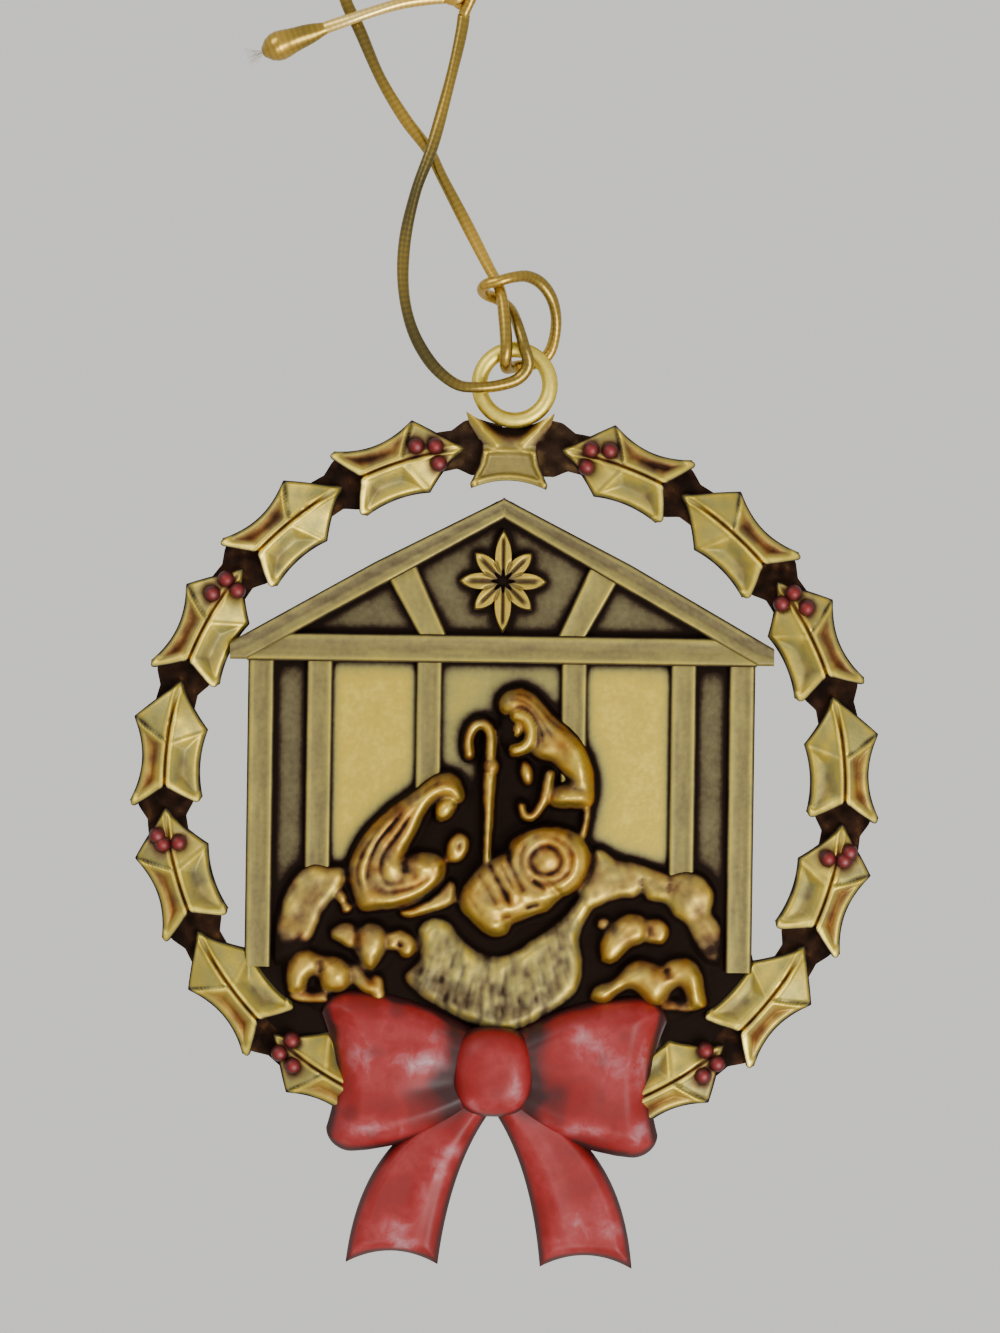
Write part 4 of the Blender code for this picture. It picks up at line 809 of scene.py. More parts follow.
def top_leaf():
    """Rows from the hollow foot to the hollow head, pinched between; ridges by their distance to lines."""
    across = np.linspace(-1, 1, 65)
    rise = np.linspace(0, 1, 57)[:, None]
    foot, head = -3.05 - 0.75 * across**2, 1.6 + 1.3 * across**2
    z = foot + (head - foot) * rise
    wide = np.interp(
        rise, [0, 0.05, 0.12, 0.3, 0.5, 0.58, 0.7, 0.85, 1],
        [3.3, 3.42, 3.2, 2.65, 2.4, 2.45, 2.95, 3.6, 3.9],
    )
    x = across * wide
    side = np.abs(x)
    from_side = (1 - np.abs(across)) * wide
    arm = to_line(side, z, (1.2, 0.1), (3.6, 2.8))
    arch = bump_at(z + 0.45 + 0.05 * side**2, 0.24) * (side < 2.35)
    skirt = bump_at(from_side - 0.35, 0.25) * step_up(-z, 0.2, 0.7)
    ridges = arch + skirt + bump_at(z - foot - 0.35, 0.25)
    inside = step_up(-z, 0.6, 1.1) * step_up(from_side, 0.4, 0.8) * step_up(z - foot, 0.4, 0.8)
    from_ring = np.hypot(x + TOP_LEAF_SHIFT, z - RING_SEAT) - RING_EYE_RADIUS - 2 * RING_WIRE
    crescent = bump_at(from_ring - 0.2, 0.85) * (1 - bump_at(arm, 0.5))
    height = 1.9 - 0.55 * crescent + 0.35 * bump_at(arm, 0.5) + 0.25 * ridges - 0.15 * inside
    height = height - 0.55 * step_up(z, 0.8, 2.4) * step_up(2.6 - side, 0, 0.6)
    # Painted shadow of the ring lies in the crescent beside it, dark and warm.
    shade = 0.35 + 0.5 * crescent - 0.22 * bump_at(arm, 0.5) - 0.14 * ridges + 0.02 * inside
    shade = shade + 0.2 * step_up(side - z, 1.3, 2.2) * (z > 0) + 0.4 * bump_at(from_side, 0.14) * (z < 0.4)
    warmth = np.clip(0.2 + crescent, 0, 1)
    right, up = x + TOP_LEAF_SHIFT, z + WREATH_RADIUS
    relief("top_leaf", right, up, np.clip(height, 0.9, 2.3), shade, antiqued_brass, warmth=warmth)


ring()
top_leaf()
print("the ring's eye is", 2 * RING_EYE_RADIUS, "mm across, its wire", 2 * RING_WIRE, "mm thick")

# %% [markdown]
# ## The stable
# The stable is a flat wall with posts, a tie beam, two rafters and two struts standing on it, and a star in
# the gable. The antiquing gathers beside everything that stands up, so the wall needs to know what does:
# one function answers, for any place, how much of it is covered, and its answer, blurred, is the dark halo.

# %% Sizes of the stable
STABLE_SHIFT = -0.4
STABLE_TURN_DEG = 0.6  # the stable sits this much anticlockwise in the wreath
STABLE_HALF = 22.3  # from the middle to the outside of a corner post
POST_WIDTH, POST_HEIGHT = 2.33, 1.9
WALL_HEIGHT = 1.2
BEAM_FOOT, BEAM_DEPTH, BEAM_HEIGHT = 10.7, 2.5, 2.2
BEAM_TOP = BEAM_FOOT + BEAM_DEPTH
ROOF_RISE, ROOF_BLUNT, ROOF_SLOPE = 25.9, 0.6, 0.5685
EAVE_REACH, RAFTER_DROP, RAFTER_HEIGHT = 23.9, 2.4, 2.4
NARROW_BAY, WIDE_BAY = 2.8, 7.3  # between the posts, from the corner inwards
POSTS = [STABLE_HALF - POST_WIDTH]
for bay in (NARROW_BAY, WIDE_BAY):
    POSTS.append(POSTS[-1] - bay - POST_WIDTH)
POST_FEET = [-16.2, -9.0, -1.0]  # the inner ones end behind the figures
STRUT_FOOT, STRUT_HEAD, STRUT_WIDTH = POSTS[2] - 0.36, POSTS[2] + 2.8, 2.5
STRUT_RISE = 6.0
STAR_UP, STAR_WAIST = 17.95, 1.95
STAR_REACH, STAR_POINT = [4.7, 3.65, 3.95, 3.65], [1.0, 1.2, 1.25, 1.2]  # upright, slanting, level, slanting
RASTER = 0.2  # cells on which halos are worked out
RASTER_X, RASTER_Z = np.arange(-24, 24, RASTER), np.arange(-26, 27, RASTER)
print("inner faces of the posts:", [round(post, 2) for post in POSTS], "mm from the middle")

# %% [markdown]
# ## What stands on the wall
# Each timber is known by the lines along its sides, and the star by its outline: the reach of a petal falls
# from its tip to the waist between two petals.

# %% What stands on the wall
def in_stable(x, z):
    """Places of the stable in the wreath: turned about the middle by the turn, and shifted."""
    turn = math.radians(STABLE_TURN_DEG)
    return x * math.cos(turn) - z * math.sin(turn) + STABLE_SHIFT, x * math.sin(turn) + z * math.cos(turn)


def roof_up(x, drop=0.0):
    """Height of the roof's outer line, less a drop."""
    return ROOF_RISE - drop - ROOF_SLOPE * np.abs(x)


def petal(turn):
    """For each direction from the star's middle: its petal's kind, and how far off its axis it is.

    The kinds are upright, slanting, level and slanting. The axis is 0 and halfway to the next petal is 1.
    """
    step = math.pi / 4
    number = np.round(turn / step).astype(int)
    return number % 4, np.abs(turn - number * step) / (step / 2)


def star_edge(turn):
    """Outline of the star: reach - (reach - waist) off^point, off being 0 on a petal's axis and 1 between."""
    number, off = petal(turn)
    reach = np.array(STAR_REACH)[number]
    return reach - (reach - STAR_WAIST) * off ** np.array(STAR_POINT)[number]


def stands_up(x, z):
    """1 where a timber or the star stands on the wall, and 0 elsewhere."""
    side = np.abs(x)
    post = np.zeros(np.broadcast(x, z).shape, dtype=bool)
    for start in POSTS:
        post |= (side > start) & (side < start + POST_WIDTH) & (z < BEAM_FOOT + 0.5)
    beam = (z > BEAM_FOOT) & (z < BEAM_TOP)
    rafter = (z > roof_up(x, RAFTER_DROP)) & (z < roof_up(x))
    lean = STRUT_FOOT + (STRUT_HEAD - STRUT_FOOT) * (z - BEAM_TOP) / STRUT_RISE
    strut = (side > lean) & (side < lean + STRUT_WIDTH) & (z > BEAM_TOP - 0.2)
    star = np.hypot(x, z - STAR_UP) < star_edge(np.arctan2(x, z - STAR_UP))
    return (post | beam | rafter | strut | star).astype(float)


def blurred(field, cell, reach):
    """Field averaged with a bell of the given reach, first down its rows and then along its columns."""
    bells = []
    for count in field.shape:
        steps = (np.arange(count)[:, None] - np.arange(count)) * cell / reach
        bell = np.exp(-(steps**2) / 2)
        bells.append(bell / bell.sum(axis=1, keepdims=True))
    return bells[0] @ field @ bells[1].T


def sampled(field, x, z):
    """Field on the raster read at places between its points, by weight of the four nearest."""
    column = np.clip((x - RASTER_X[0]) / RASTER, 0, len(RASTER_X) - 1.001)
    row = np.clip((z - RASTER_Z[0]) / RASTER, 0, len(RASTER_Z) - 1.001)
    c, r = column.astype(int), row.astype(int)
    s, t = column - c, row - r
    upper = field[r + 1, c] * (1 - s) + field[r + 1, c + 1] * s
    return (field[r, c] * (1 - s) + field[r, c + 1] * s) * (1 - t) + upper * t


on_wall = stands_up(RASTER_X[None, :], RASTER_Z[:, None])
print("timbers and star cover", round(float(on_wall.sum()) * RASTER**2), "square mm")

# %% [markdown]
# ## Timbers
# A post, beam, rafter or strut is a strip between two lines. Its edges are broken by a small chamfer, and
# its face is a little hollow, so that the rubbed gold runs along its two long edges. The streaks of the
# rubbing run down the posts and struts, and across the beam and the rafters.

# %% Posts, beam, rafters and struts
CHAMFER = 0.22
STRIP_STOPS = [0, 0.04, 0.08, 0.13, 0.2, 0.28, 0.36, 0.43, 0.5, 0.58, 0.66, 0.74, 0.82, 0.88, 0.93, 0.96, 1]


def strip(name, first, second, top, shade=0.4, band=0.0, runs_in_below=-99.0):
    """Strip between two lines of points: heights fall by the chamfer at both sides, and a band may stand up.

    Its dark edges fade out below the given height, where it runs into another timber.
    """
    stops = np.linspace(0, 1, len(first))
    share = np.unique(np.concatenate([np.linspace(0, 1, 60), stops]))[:, None]
    across = np.array(STRIP_STOPS)
    ends = [np.interp(share, stops, [point[k] for point in line]) for line in (first, second) for k in (0, 1)]
    x, z = ends[0] + (ends[2] - ends[0]) * across, ends[1] + (ends[3] - ends[1]) * across
    wide = np.hypot(ends[2] - ends[0], ends[3] - ends[1])
    from_side = np.minimum(across, 1 - across) * wide
    raised = band * (1 - step_up(across, 0.36, 0.5))
    height = top - 0.35 + 0.25 * step_up(from_side, 0, CHAMFER) - 0.05 * step_up(from_side, 0.3, 0.9) + raised
    rubbed = bump_at(from_side - 0.3, 0.17) * (0.6 + 0.5 * strokes(x * 0.7 + 30, z * 0.7 + 40, 23))
    upright = abs(first[0][0] - first[1][0]) < 4
    fine_x, fine_z = (3.1, 0.45) if upright else (0.4, 3)
    streak = strokes(x * fine_x + 60, z * fine_z + 50, 21)
    edge = 0.34 * (1 - step_up(from_side, 0, 0.2)) - 0.17 * rubbed
    edge = edge * step_up(z, runs_in_below - 0.3, runs_in_below + 0.2)
    dark = shade + 0.09 * (streak - 0.5) + edge - 0.9 * raised
    relief(name, *in_stable(x, z), height, dark, antiqued_brass, 0.6, warmth=0.1)


beam_half = STABLE_HALF + 0.1
beam_foot, beam_top = ([(-beam_half, z), (beam_half, z)] for z in (BEAM_FOOT, BEAM_TOP))
strip("tie_beam", beam_foot, beam_top, BEAM_HEIGHT + 0.1, 0.42, 0.05)
run_in = (ROOF_RISE - RAFTER_DROP - BEAM_FOOT) / ROOF_SLOPE
for side, word in ((-1, "left"), (1, "right")):
    for number, (start, foot) in enumerate(zip(POSTS, POST_FEET), 1):
        near, far = start * side, (start + POST_WIDTH) * side
        lines = [(near, foot), (near, BEAM_FOOT + 0.1)], [(far, foot), (far, BEAM_FOOT + 0.1)]
        strip(f"post_{word}_{number}", *lines, POST_HEIGHT + 0.1, 0.4)
    low_head, high_head = roof_up(STRUT_HEAD, 1.2), roof_up(STRUT_HEAD + STRUT_WIDTH, 1.2)
    inner = [(STRUT_FOOT * side, BEAM_TOP - 0.1), (STRUT_HEAD * side, low_head)]
    outer_foot, outer_head = STRUT_FOOT + STRUT_WIDTH, STRUT_HEAD + STRUT_WIDTH
    outer = [(outer_foot * side, BEAM_TOP - 0.1), (outer_head * side, high_head)]
    strip(f"strut_{word}", inner, outer, POST_HEIGHT + 0.1, 0.34)
    low = [(-0.1, ROOF_RISE - RAFTER_DROP), (run_in * 0.5, roof_up(run_in * 0.5, RAFTER_DROP))]
    low += [(run_in, BEAM_FOOT + 0.1), (EAVE_REACH, BEAM_FOOT + 0.1)]
    high = [(-0.1, ROOF_RISE - ROOF_BLUNT), (run_in * 0.5, roof_up(run_in * 0.5))]
    high += [(run_in, roof_up(run_in)), (EAVE_REACH, roof_up(EAVE_REACH))]
    low, high = ([(x * side, z) for x, z in line] for line in (low, high))
    strip(f"rafter_{word}", low, high, RAFTER_HEIGHT + 0.1, 0.48, 0.1, BEAM_TOP)


print(2 * len(POSTS), "posts, a beam, 2 rafters and 2 struts")

# %% [markdown]
# ## Star
# A disc is stretched to the star's outline. Its eight petals have a groove down their middles and a shallow
# seam between them near the dark heart.

# %% Star
def star():
    """Disc stretched to the star's outline: petals with a groove down their middles, and a dark heart."""
    a, b, far = disc(113)
    turn = np.arctan2(a, b)
    edge = star_edge(turn)
    spread = np.where(far > 0, edge, 1.0)
    radius = far * edge
    number, off = petal(turn)
    reach = np.array(STAR_REACH)[number]
    from_axis = radius * np.sin(off * math.pi / 8)
    groove = bump_at(from_axis, np.array([0.13, 0.17, 0.22, 0.17])[number])
    groove = groove * (1 - step_up(radius, reach - 1.3, reach - 0.5))
    seam = bump_at(radius * np.sin((1 - off) * math.pi / 8), 0.16) * (1 - step_up(radius, 1.6, 2.1))
    heart = 1 - step_up(radius - 0.3 * np.cos(8 * turn), 0.35, 0.85)
    edge_fall = step_up(1 - far, 0, 0.09)
    height = WALL_HEIGHT + 0.1 + 0.65 * edge_fall - 0.3 * groove - 0.25 * seam - 0.5 * heart
    shade = 0.16 + 0.55 * (1 - edge_fall) + 0.45 * groove + 0.25 * seam + 0.9 * heart
    x, z = in_stable(a * spread, b * spread + STAR_UP)
    relief("star", x, z, np.maximum(height, WALL_HEIGHT + 0.05), shade, antiqued_brass, 0.6, warmth=0.3)


star()
print("star", 2 * STAR_REACH[0], "mm tall and", 2 * STAR_REACH[2], "mm wide")

# %% [markdown]
# ## The figures
# The group is one low relief: a kneeling figure in a veil, a standing figure with a crook, a swaddled child
# on hay, mounds of hay, and two lying sheep. It is worked out as a height for each place of a fine grid,
# from how far the place lies from drawn routes and how deep inside drawn outlines.

# %% Grid and distances
GROUP_CELL = 0.14
OUTLINE_GROWTH = 0.38  # the outlines follow the bright part of each form, and its dark foot lies outside them
group_x, group_z = np.meshgrid(np.arange(-19.8, 19.3, GROUP_CELL), np.arange(-22.6, 9.3, GROUP_CELL))
EMPTY_HEIGHT, COVERED_HEIGHT = 0.8, 1.3  # with nothing laid, and where a place counts as covered
group = np.full(group_x.shape, EMPTY_HEIGHT)
group_dark = np.zeros(group_x.shape)


def distance_to(route, step=0.5):
    """Distance from each place of the grid to the smooth curve through the route, and the share along it."""
    line = smooth_route(route, step)
    nearest, share = np.full(group_x.shape, 99.0), np.zeros(group_x.shape)
    for number, (a, b) in enumerate(zip(line, line[1:])):
        found = to_line(group_x, group_z, a, b)
        share = np.where(found < nearest, number / (len(line) - 2), share)
        nearest = np.minimum(nearest, found)
    return nearest, share


def depth_in(outline, growth=0.0):
    """How deep each place lies inside a smooth closed outline that is let out by the growth.

    A place is inside where a line to its right crosses the outline an odd number of times.
    """
    line = smooth_route([*outline, outline[0]], 0.5)
    inside = np.zeros(group_x.shape, dtype=bool)
    for (ax, az), (bx, bz) in zip(line, line[1:]):
        if az != bz:
            crosses = (group_z < az) != (group_z < bz)
            inside ^= crosses & (group_x < ax + (group_z - az) * (bx - ax) / (bz - az))
    return np.where(inside, 1, -1) * distance_to([*outline, outline[0]])[0] + growth


def spot(x, z, half_width, half_height, turn=0.0):
    """Bell round a place: exp(-q), q being the square of the distance in half widths."""
    a = math.radians(turn)
    u = (group_x - x) * math.cos(a) + (group_z - z) * math.sin(a)
    v = (group_z - z) * math.cos(a) - (group_x - x) * math.sin(a)
    return np.exp(-((u / half_width) ** 2) - (v / half_height) ** 2)


print("grid of", group.size, "places,", GROUP_CELL, "mm apart")

# %% [markdown]
# ## Cushions, lumps, bars and folds
# Cushions with a drawn outline, lumps and bars are laid over each other, and the highest one wins. Folds are
# added to what lies there, or cut into it. Each says how much darker or brighter its place is made.

# %% Cushions, lumps, bars and folds
def cushion(outline, reach, top, low=1.5, darkness=0.0):
    """Lays a cushion on an outline: from its low edge up to its top by (t (2 - t))^0.85 over the reach."""
    t = np.clip(depth_in(outline, OUTLINE_GROWTH) / reach, 0, 1)
    made = np.where(t > 0, low + (top - low) * (t * (2 - t)) ** 0.85, 0)
    group_dark[:] = np.where(made > group, darkness, group_dark)
    np.maximum(group, made, out=group)


def lump(x, z, half_width, half_height, turn=0.0, top=3.0, low=1.2, darkness=0.0):
    """Lays an oval lump: low + (top - low) sqrt(1 - q), q being the square of the distance in half widths.

    A lump that starts low is let out a little, as the outlines are.
    """
    grown = 0.4 * OUTLINE_GROWTH * (low < 2.2)
    q = -np.log(np.maximum(spot(x, z, half_width + grown, half_height + grown, turn), 1e-30))
    made = np.where(q < 1, low + (top - low) * np.sqrt(np.clip(1 - q, 0, 1)), 0)
    group_dark[:] = np.where(made > group, darkness, group_dark)
    np.maximum(group, made, out=group)


def bar(route, half_width, top, low=1.2, taper=0.0, darkness=0.0):
    """Lays a round bar along a route by the lump's formula, narrower towards its end by the taper."""
    near, share = distance_to(route)
    q = (near / (half_width * (1 - taper * share) + 0.5 * OUTLINE_GROWTH)) ** 2
    made = np.where(q < 1, low + (top - low) * np.sqrt(np.clip(1 - q, 0, 1)), 0)
    group_dark[:] = np.where(made > group, darkness, group_dark)
    np.maximum(group, made, out=group)


def fold(route, half_width, rise, darkness=0.0):
    """Raises a round fold along a route, or cuts one where the rise is below 0; it dies away at both ends."""
    near, share = distance_to(route)
    bell = bump_at(near, half_width) * np.sqrt(step_up(share, -0.05, 0.25) * step_up(1 - share, -0.05, 0.25))
    group[:] = group + rise * bell
    group_dark[:] = group_dark + darkness * bell


def print_share(what):
    """Prints how much of the grid is covered once something has been laid on it."""
    print(what, "laid,", round(float((group > COVERED_HEIGHT).mean() * 100), 1), "% of the grid is covered")


print("outlines are let out by", OUTLINE_GROWTH, "mm")

# %% [markdown]
# ## Hay
# The hay is a bowl in the middle and a mound on each side. The mounds are smooth and golden; the bowl has
# short upright strokes, finer and darker towards its foot.

# %% Hay in the relief
cushion(
    [
        (-19.7, -13.6), (-19.3, -11.0), (-18.6, -9.2), (-17.7, -8.0), (-16.6, -7.5), (-15.3, -7.7),
        (-14.3, -7.6), (-13.9, -8.3), (-14.4, -9.5), (-15.2, -10.6), (-15.8, -11.5), (-16.3, -12.8),
        (-17.0, -14.4), (-18.6, -15.6), (-19.9, -15.6),
    ], 1.1, 2.5, 1.4, 0.1,
)
cushion(
    [
        (6.7, -9.0), (7.5, -7.6), (8.0, -6.3), (8.2, -5.5), (8.9, -5.7), (9.6, -6.2), (10.4, -6.45),
        (11.6, -6.6), (12.9, -7.05), (14.0, -7.4), (14.8, -7.7), (15.6, -7.45), (16.7, -7.4), (17.7, -7.9),
        (18.35, -8.9), (18.4, -9.9), (18.2, -10.8), (19.1, -12.0), (19.3, -14.6), (18.4, -15.0),
        (17.4, -14.0), (16.7, -12.5), (16.2, -11.6), (15.2, -10.9), (14.5, -9.9), (13.5, -9.75),
        (12.8, -9.6), (12.3, -8.8), (11.7, -9.45), (10.3, -9.5), (9.2, -9.95), (7.8, -10.5), (7.0, -11.0),
    ], 1.1, 2.5, 1.4, 0.08,
)
lump(16.5, -9.3, 2.0, 2.0, 0, 2.9, 1.6, 0.14)
fold([(14.7, -7.8), (14.6, -8.6), (14.9, -9.4)], 0.25, -0.25, 0.15)
fold([(12.3, -7.4), (12.2, -8.2), (12.3, -8.8)], 0.25, -0.2, 0.2)
cushion(
    [
        (-7.2, -12.8), (-6.5, -12.0), (-5.2, -11.9), (-4.2, -12.7), (-3.2, -13.9), (-1.9, -14.7),
        (-0.4, -15.1), (1.1, -14.7), (2.6, -13.7), (4.2, -12.5), (5.8, -11.1), (6.9, -9.6), (7.9, -10.2),
        (7.1, -12.0), (6.7, -13.4), (7.0, -15.0), (6.9, -17.0), (6.0, -18.6), (3.0, -20.8), (0.0, -21.6),
        (-3.0, -20.8), (-6.0, -19.2), (-7.8, -17.8), (-8.3, -16.8), (-7.3, -15.9), (-6.9, -14.6),
        (-7.1, -13.6),
    ], 1.3, 2.7, 1.4,
)
in_bowl = step_up(group_x, -9.0, -7.0) * step_up(-group_x, -7.6, -6.2) * step_up(-group_z, 10.5, 12.5)
lean = group_x + 0.05 * (group_z + 14.0) * group_x
straw = strokes(lean * 3.1 + 80, group_z * 0.6 + 60, 3) * 0.55
straw += strokes(lean * 5.2 + 110, group_z * 0.9 + 70, 5) * 0.45
tuft = strokes(group_x * 0.75 + 40, group_z * 0.75 + 50, 8)
hay = step_up(group, 1.4, 2.0)
low_down = 0.35 + 0.65 * step_up(-group_z, 14.0, 18.0)
group += hay * (0.16 * low_down * (straw - 0.5) * in_bowl + 0.2 * (tuft - 0.5) + 0.05 * (straw - 0.5))
group_dark += hay * (0.26 * low_down * (0.5 - straw) * in_bowl + 0.14 * (0.5 - tuft) + 0.06 * (0.5 - straw))
bowl_dark = 0.25 * step_up(-group_z, 16.5, 21) + 0.35 * spot(-7.8, -17.2, 2.4, 1.6)
group_dark += in_bowl * (bowl_dark + 0.1 * step_up(group_x, 3, 6))
group_dark += 0.5 * step_up(-group_z, 11.8, 14.6) * (group_x > 16)
group_dark += 0.6 * step_up(-group_z, 12.6, 15.0) * (group_x < -15.5)
group_dark += 0.2 * spot(-15.6, -12.0, 1.0, 1.6)
for x, z in ((-5.1, -17.2), (3.2, -18.6), (-3.2, -16.0), (1.7, -18.8), (-6.2, -15.2)):
    group_dark += 0.2 * spot(x, z, 0.25, 0.4)
hay_height = group.copy()
print_share("hay")

# %% [markdown]
# ## Sheep
# Two sheep lie in front of the hay. Of each the head with its two ears shows, and a rounded body in front.

# %% Sheep in the relief
cushion(
    [
        (-12.7, -13.0), (-11.6, -12.4), (-10.6, -12.6), (-10.1, -13.5), (-10.2, -14.6), (-10.8, -15.7),
        (-11.4, -16.3), (-12.0, -15.9), (-12.7, -15.0), (-13.0, -14.0),
    ], 1.4, 3.3, 1.5, 0.08,
)
cushion(
    [
        (-14.9, -13.1), (-14.0, -12.5), (-13.1, -12.6), (-12.7, -13.2), (-12.8, -14.1), (-13.3, -14.5),
        (-14.0, -14.0), (-14.7, -13.7),
    ], 0.8, 2.8, 1.5, 0.1,
)
cushion(
    [
        (-10.0, -13.3), (-9.0, -13.0), (-8.1, -13.3), (-7.6, -14.1), (-7.9, -15.0), (-8.5, -15.1),
        (-9.1, -14.5), (-9.9, -14.5),
    ], 0.8, 2.8, 1.5, 0.05,
)
fold([(-9.4, -13.9), (-8.9, -14.2), (-8.9, -14.6)], 0.3, -0.4, 0.35)
# Painted shade on the left side of the head.
group_dark += 0.2 * spot(-12.4, -14.2, 0.4, 1.2)
cushion(
    [
        (-18.5, -18.3), (-18.7, -16.7), (-18.1, -15.4), (-17.0, -14.9), (-15.9, -15.3), (-15.0, -15.4),
        (-13.9, -15.6), (-13.2, -16.4), (-13.2, -17.4), (-13.7, -18.2), (-14.8, -18.3), (-15.6, -17.9),
        (-16.0, -17.1), (-16.5, -16.9), (-17.0, -17.4), (-17.2, -18.1), (-17.8, -18.5),
    ], 1.2, 3.2, 1.5, 0.06,
)
fold([(-15.9, -15.2), (-15.9, -16.2), (-15.8, -17.4)], 0.35, -0.5, 0.16)
lump(-14.5, -16.9, 1.25, 1.25, 0, 3.5, 2.4, -0.02)
bar([(-12.9, -16.5), (-12.4, -17.2), (-11.6, -17.9), (-10.9, -18.0)], 0.65, 2.6, 1.5, 0.0, 0.14)
bar([(-10.9, -17.4), (-10.7, -18.6)], 0.6, 2.5, 1.5, 0.0, 0.16)
bar([(-18.0, -18.9), (-15.6, -18.95)], 0.5, 2.2, 1.5, 0.0, 0.2)
cushion(
    [
        (9.0, -15.0), (8.75, -14.0), (9.1, -12.9), (9.8, -12.0), (10.8, -11.2), (12.0, -11.1), (12.7, -11.7),
        (12.8, -12.8), (12.2, -13.5), (11.5, -13.7), (10.9, -14.2), (10.3, -14.9), (9.6, -15.3),
    ], 1.2, 3.3, 1.5, 0.02,
)
group_dark += 0.22 * spot(11.2, -13.2, 0.6, 0.5) + 0.12 * spot(9.9, -12.4, 0.5, 0.5)
lump(8.95, -11.9, 0.65, 0.6, 0, 2.4, 1.5, 0.15)
cushion(
    [(12.7, -11.6), (13.8, -11.5), (14.4, -12.0), (14.5, -12.7), (14.1, -13.4), (13.4, -13.3), (12.8, -13.2)],
    0.7, 2.8, 1.5,
)
group_dark += 0.3 * spot(13.2, -12.5, 0.4, 0.8)
cushion(
    [
        (8.1, -18.4), (8.4, -17.6), (9.6, -17.1), (10.4, -16.5), (11.1, -15.6), (12.1, -15.1),
        (13.0, -15.2), (14.0, -15.5), (15.0, -15.0), (16.1, -14.8), (17.0, -15.2), (17.6, -16.2),
        (17.8, -17.4), (17.9, -18.9), (16.9, -19.0), (16.4, -18.0), (16.0, -17.2), (15.4, -17.2),
        (14.8, -17.8), (14.2, -18.6), (13.3, -18.8), (12.4, -18.0), (11.8, -17.5), (11.0, -17.5),
        (10.2, -18.0), (9.2, -18.8),
    ], 1.5, 3.3, 1.5, 0.03,
)
fold([(14.2, -15.3), (14.7, -16.2), (14.8, -17.2)], 0.4, -0.3, 0.16)
fold([(16.6, -15.6), (17.1, -16.8), (17.0, -18.2)], 0.4, 0.25, -0.1)
bar([(14.6, -18.9), (17.0, -19.0)], 0.5, 2.0, 1.5, 0.0, 0.2)
print_share("sheep")

# %% [markdown]
# ## Kneeling figure
# A veil falls from the bent head over the back into a wide robe that spreads round the knees. Three deep
# folds run down the back, the veil's front edge is a bright roll, and two more rolls go round the hem. The
# face is only a plain oval with a small nose.

# %% Kneeling figure in the relief
lump(-5.2, -2.15, 1.1, 0.72, 60, 3.3, 1.9, -0.2)
lump(-4.45, -2.05, 0.3, 0.25, 40, 2.9, 1.7, 0.1)
cushion(
    [
        (-5.0, 0.95), (-5.8, 0.75), (-6.8, 0.1), (-7.9, -0.8), (-9.6, -2.0), (-11.1, -3.4), (-12.4, -5.0),
        (-13.2, -6.6), (-13.5, -7.9), (-13.3, -9.0), (-12.9, -10.1), (-12.3, -11.15), (-11.2, -11.1),
        (-9.4, -10.85), (-8.1, -10.4), (-6.9, -9.75), (-5.75, -8.75), (-5.1, -7.6), (-5.2, -6.8),
        (-5.8, -6.2), (-7.2, -6.1), (-8.6, -6.3), (-8.4, -5.4), (-7.7, -4.0), (-7.1, -2.6), (-6.3, -1.65),
        (-5.4, -1.2), (-4.6, -1.3), (-4.0, -1.5), (-3.7, -1.0), (-3.9, -0.1), (-4.3, 0.6),
    ], 1.5, 3.4, 1.5, 0.05,
)
fold(
    [
        (-4.0, -1.0), (-4.6, -0.4), (-5.6, -0.45), (-6.7, -1.2), (-7.5, -2.8), (-8.1, -4.4), (-8.9, -5.8),
        (-9.8, -7.2),
    ], 0.42, 0.3, -0.1,
)
fold(
    [
        (-7.3, -1.4), (-8.4, -3.2), (-9.1, -4.4), (-10.2, -5.8), (-10.65, -6.8), (-10.7, -7.7),
        (-10.4, -8.5), (-9.8, -8.8), (-8.8, -8.6),
    ], 0.2, -0.24, 0.14,
)
fold(
    [
        (-8.6, -2.2), (-9.6, -3.5), (-10.9, -5.0), (-11.5, -6.3), (-11.85, -7.4), (-11.9, -8.4),
        (-11.6, -9.4),
    ], 0.2, -0.22, 0.14,
)
fold(
    [
        (-10.6, -3.8), (-12.0, -5.7), (-12.55, -6.9), (-12.75, -7.8), (-12.6, -8.7), (-12.2, -9.9),
    ], 0.18, -0.24, 0.15,
)
fold([(-9.6, -2.9), (-11.2, -4.8), (-12.0, -6.6), (-12.3, -8.0), (-12.1, -9.5)], 0.2, 0.2, -0.12)
fold([(-5.4, -7.9), (-6.6, -9.0), (-8.1, -9.85), (-9.9, -10.4), (-11.6, -10.4)], 0.34, 0.35, -0.15)
fold([(-6.0, -7.9), (-7.4, -8.9), (-8.9, -9.4), (-10.3, -9.5), (-11.2, -9.1)], 0.22, -0.2, 0.12)
fold([(-9.0, -2.6), (-10.3, -4.2), (-11.2, -5.6), (-11.7, -6.8)], 0.13, -0.16, 0.16)
fold([(-8.0, -2.4), (-8.9, -3.9), (-9.8, -5.2)], 0.13, -0.16, 0.16)
fold([(-5.3, 0.2), (-6.4, -0.2), (-7.4, -1.1)], 0.14, -0.15, 0.14)
fold([(-9.1, -6.4), (-8.6, -7.3), (-8.9, -8.3)], 0.35, -0.35, 0.18)
group += 0.4 * spot(-10.0, -7.5, 0.9, 1.0, 60) + 0.35 * spot(-7.0, -7.4, 0.6, 0.5)
group += 0.3 * spot(-5.75, -7.3, 0.4, 0.7)
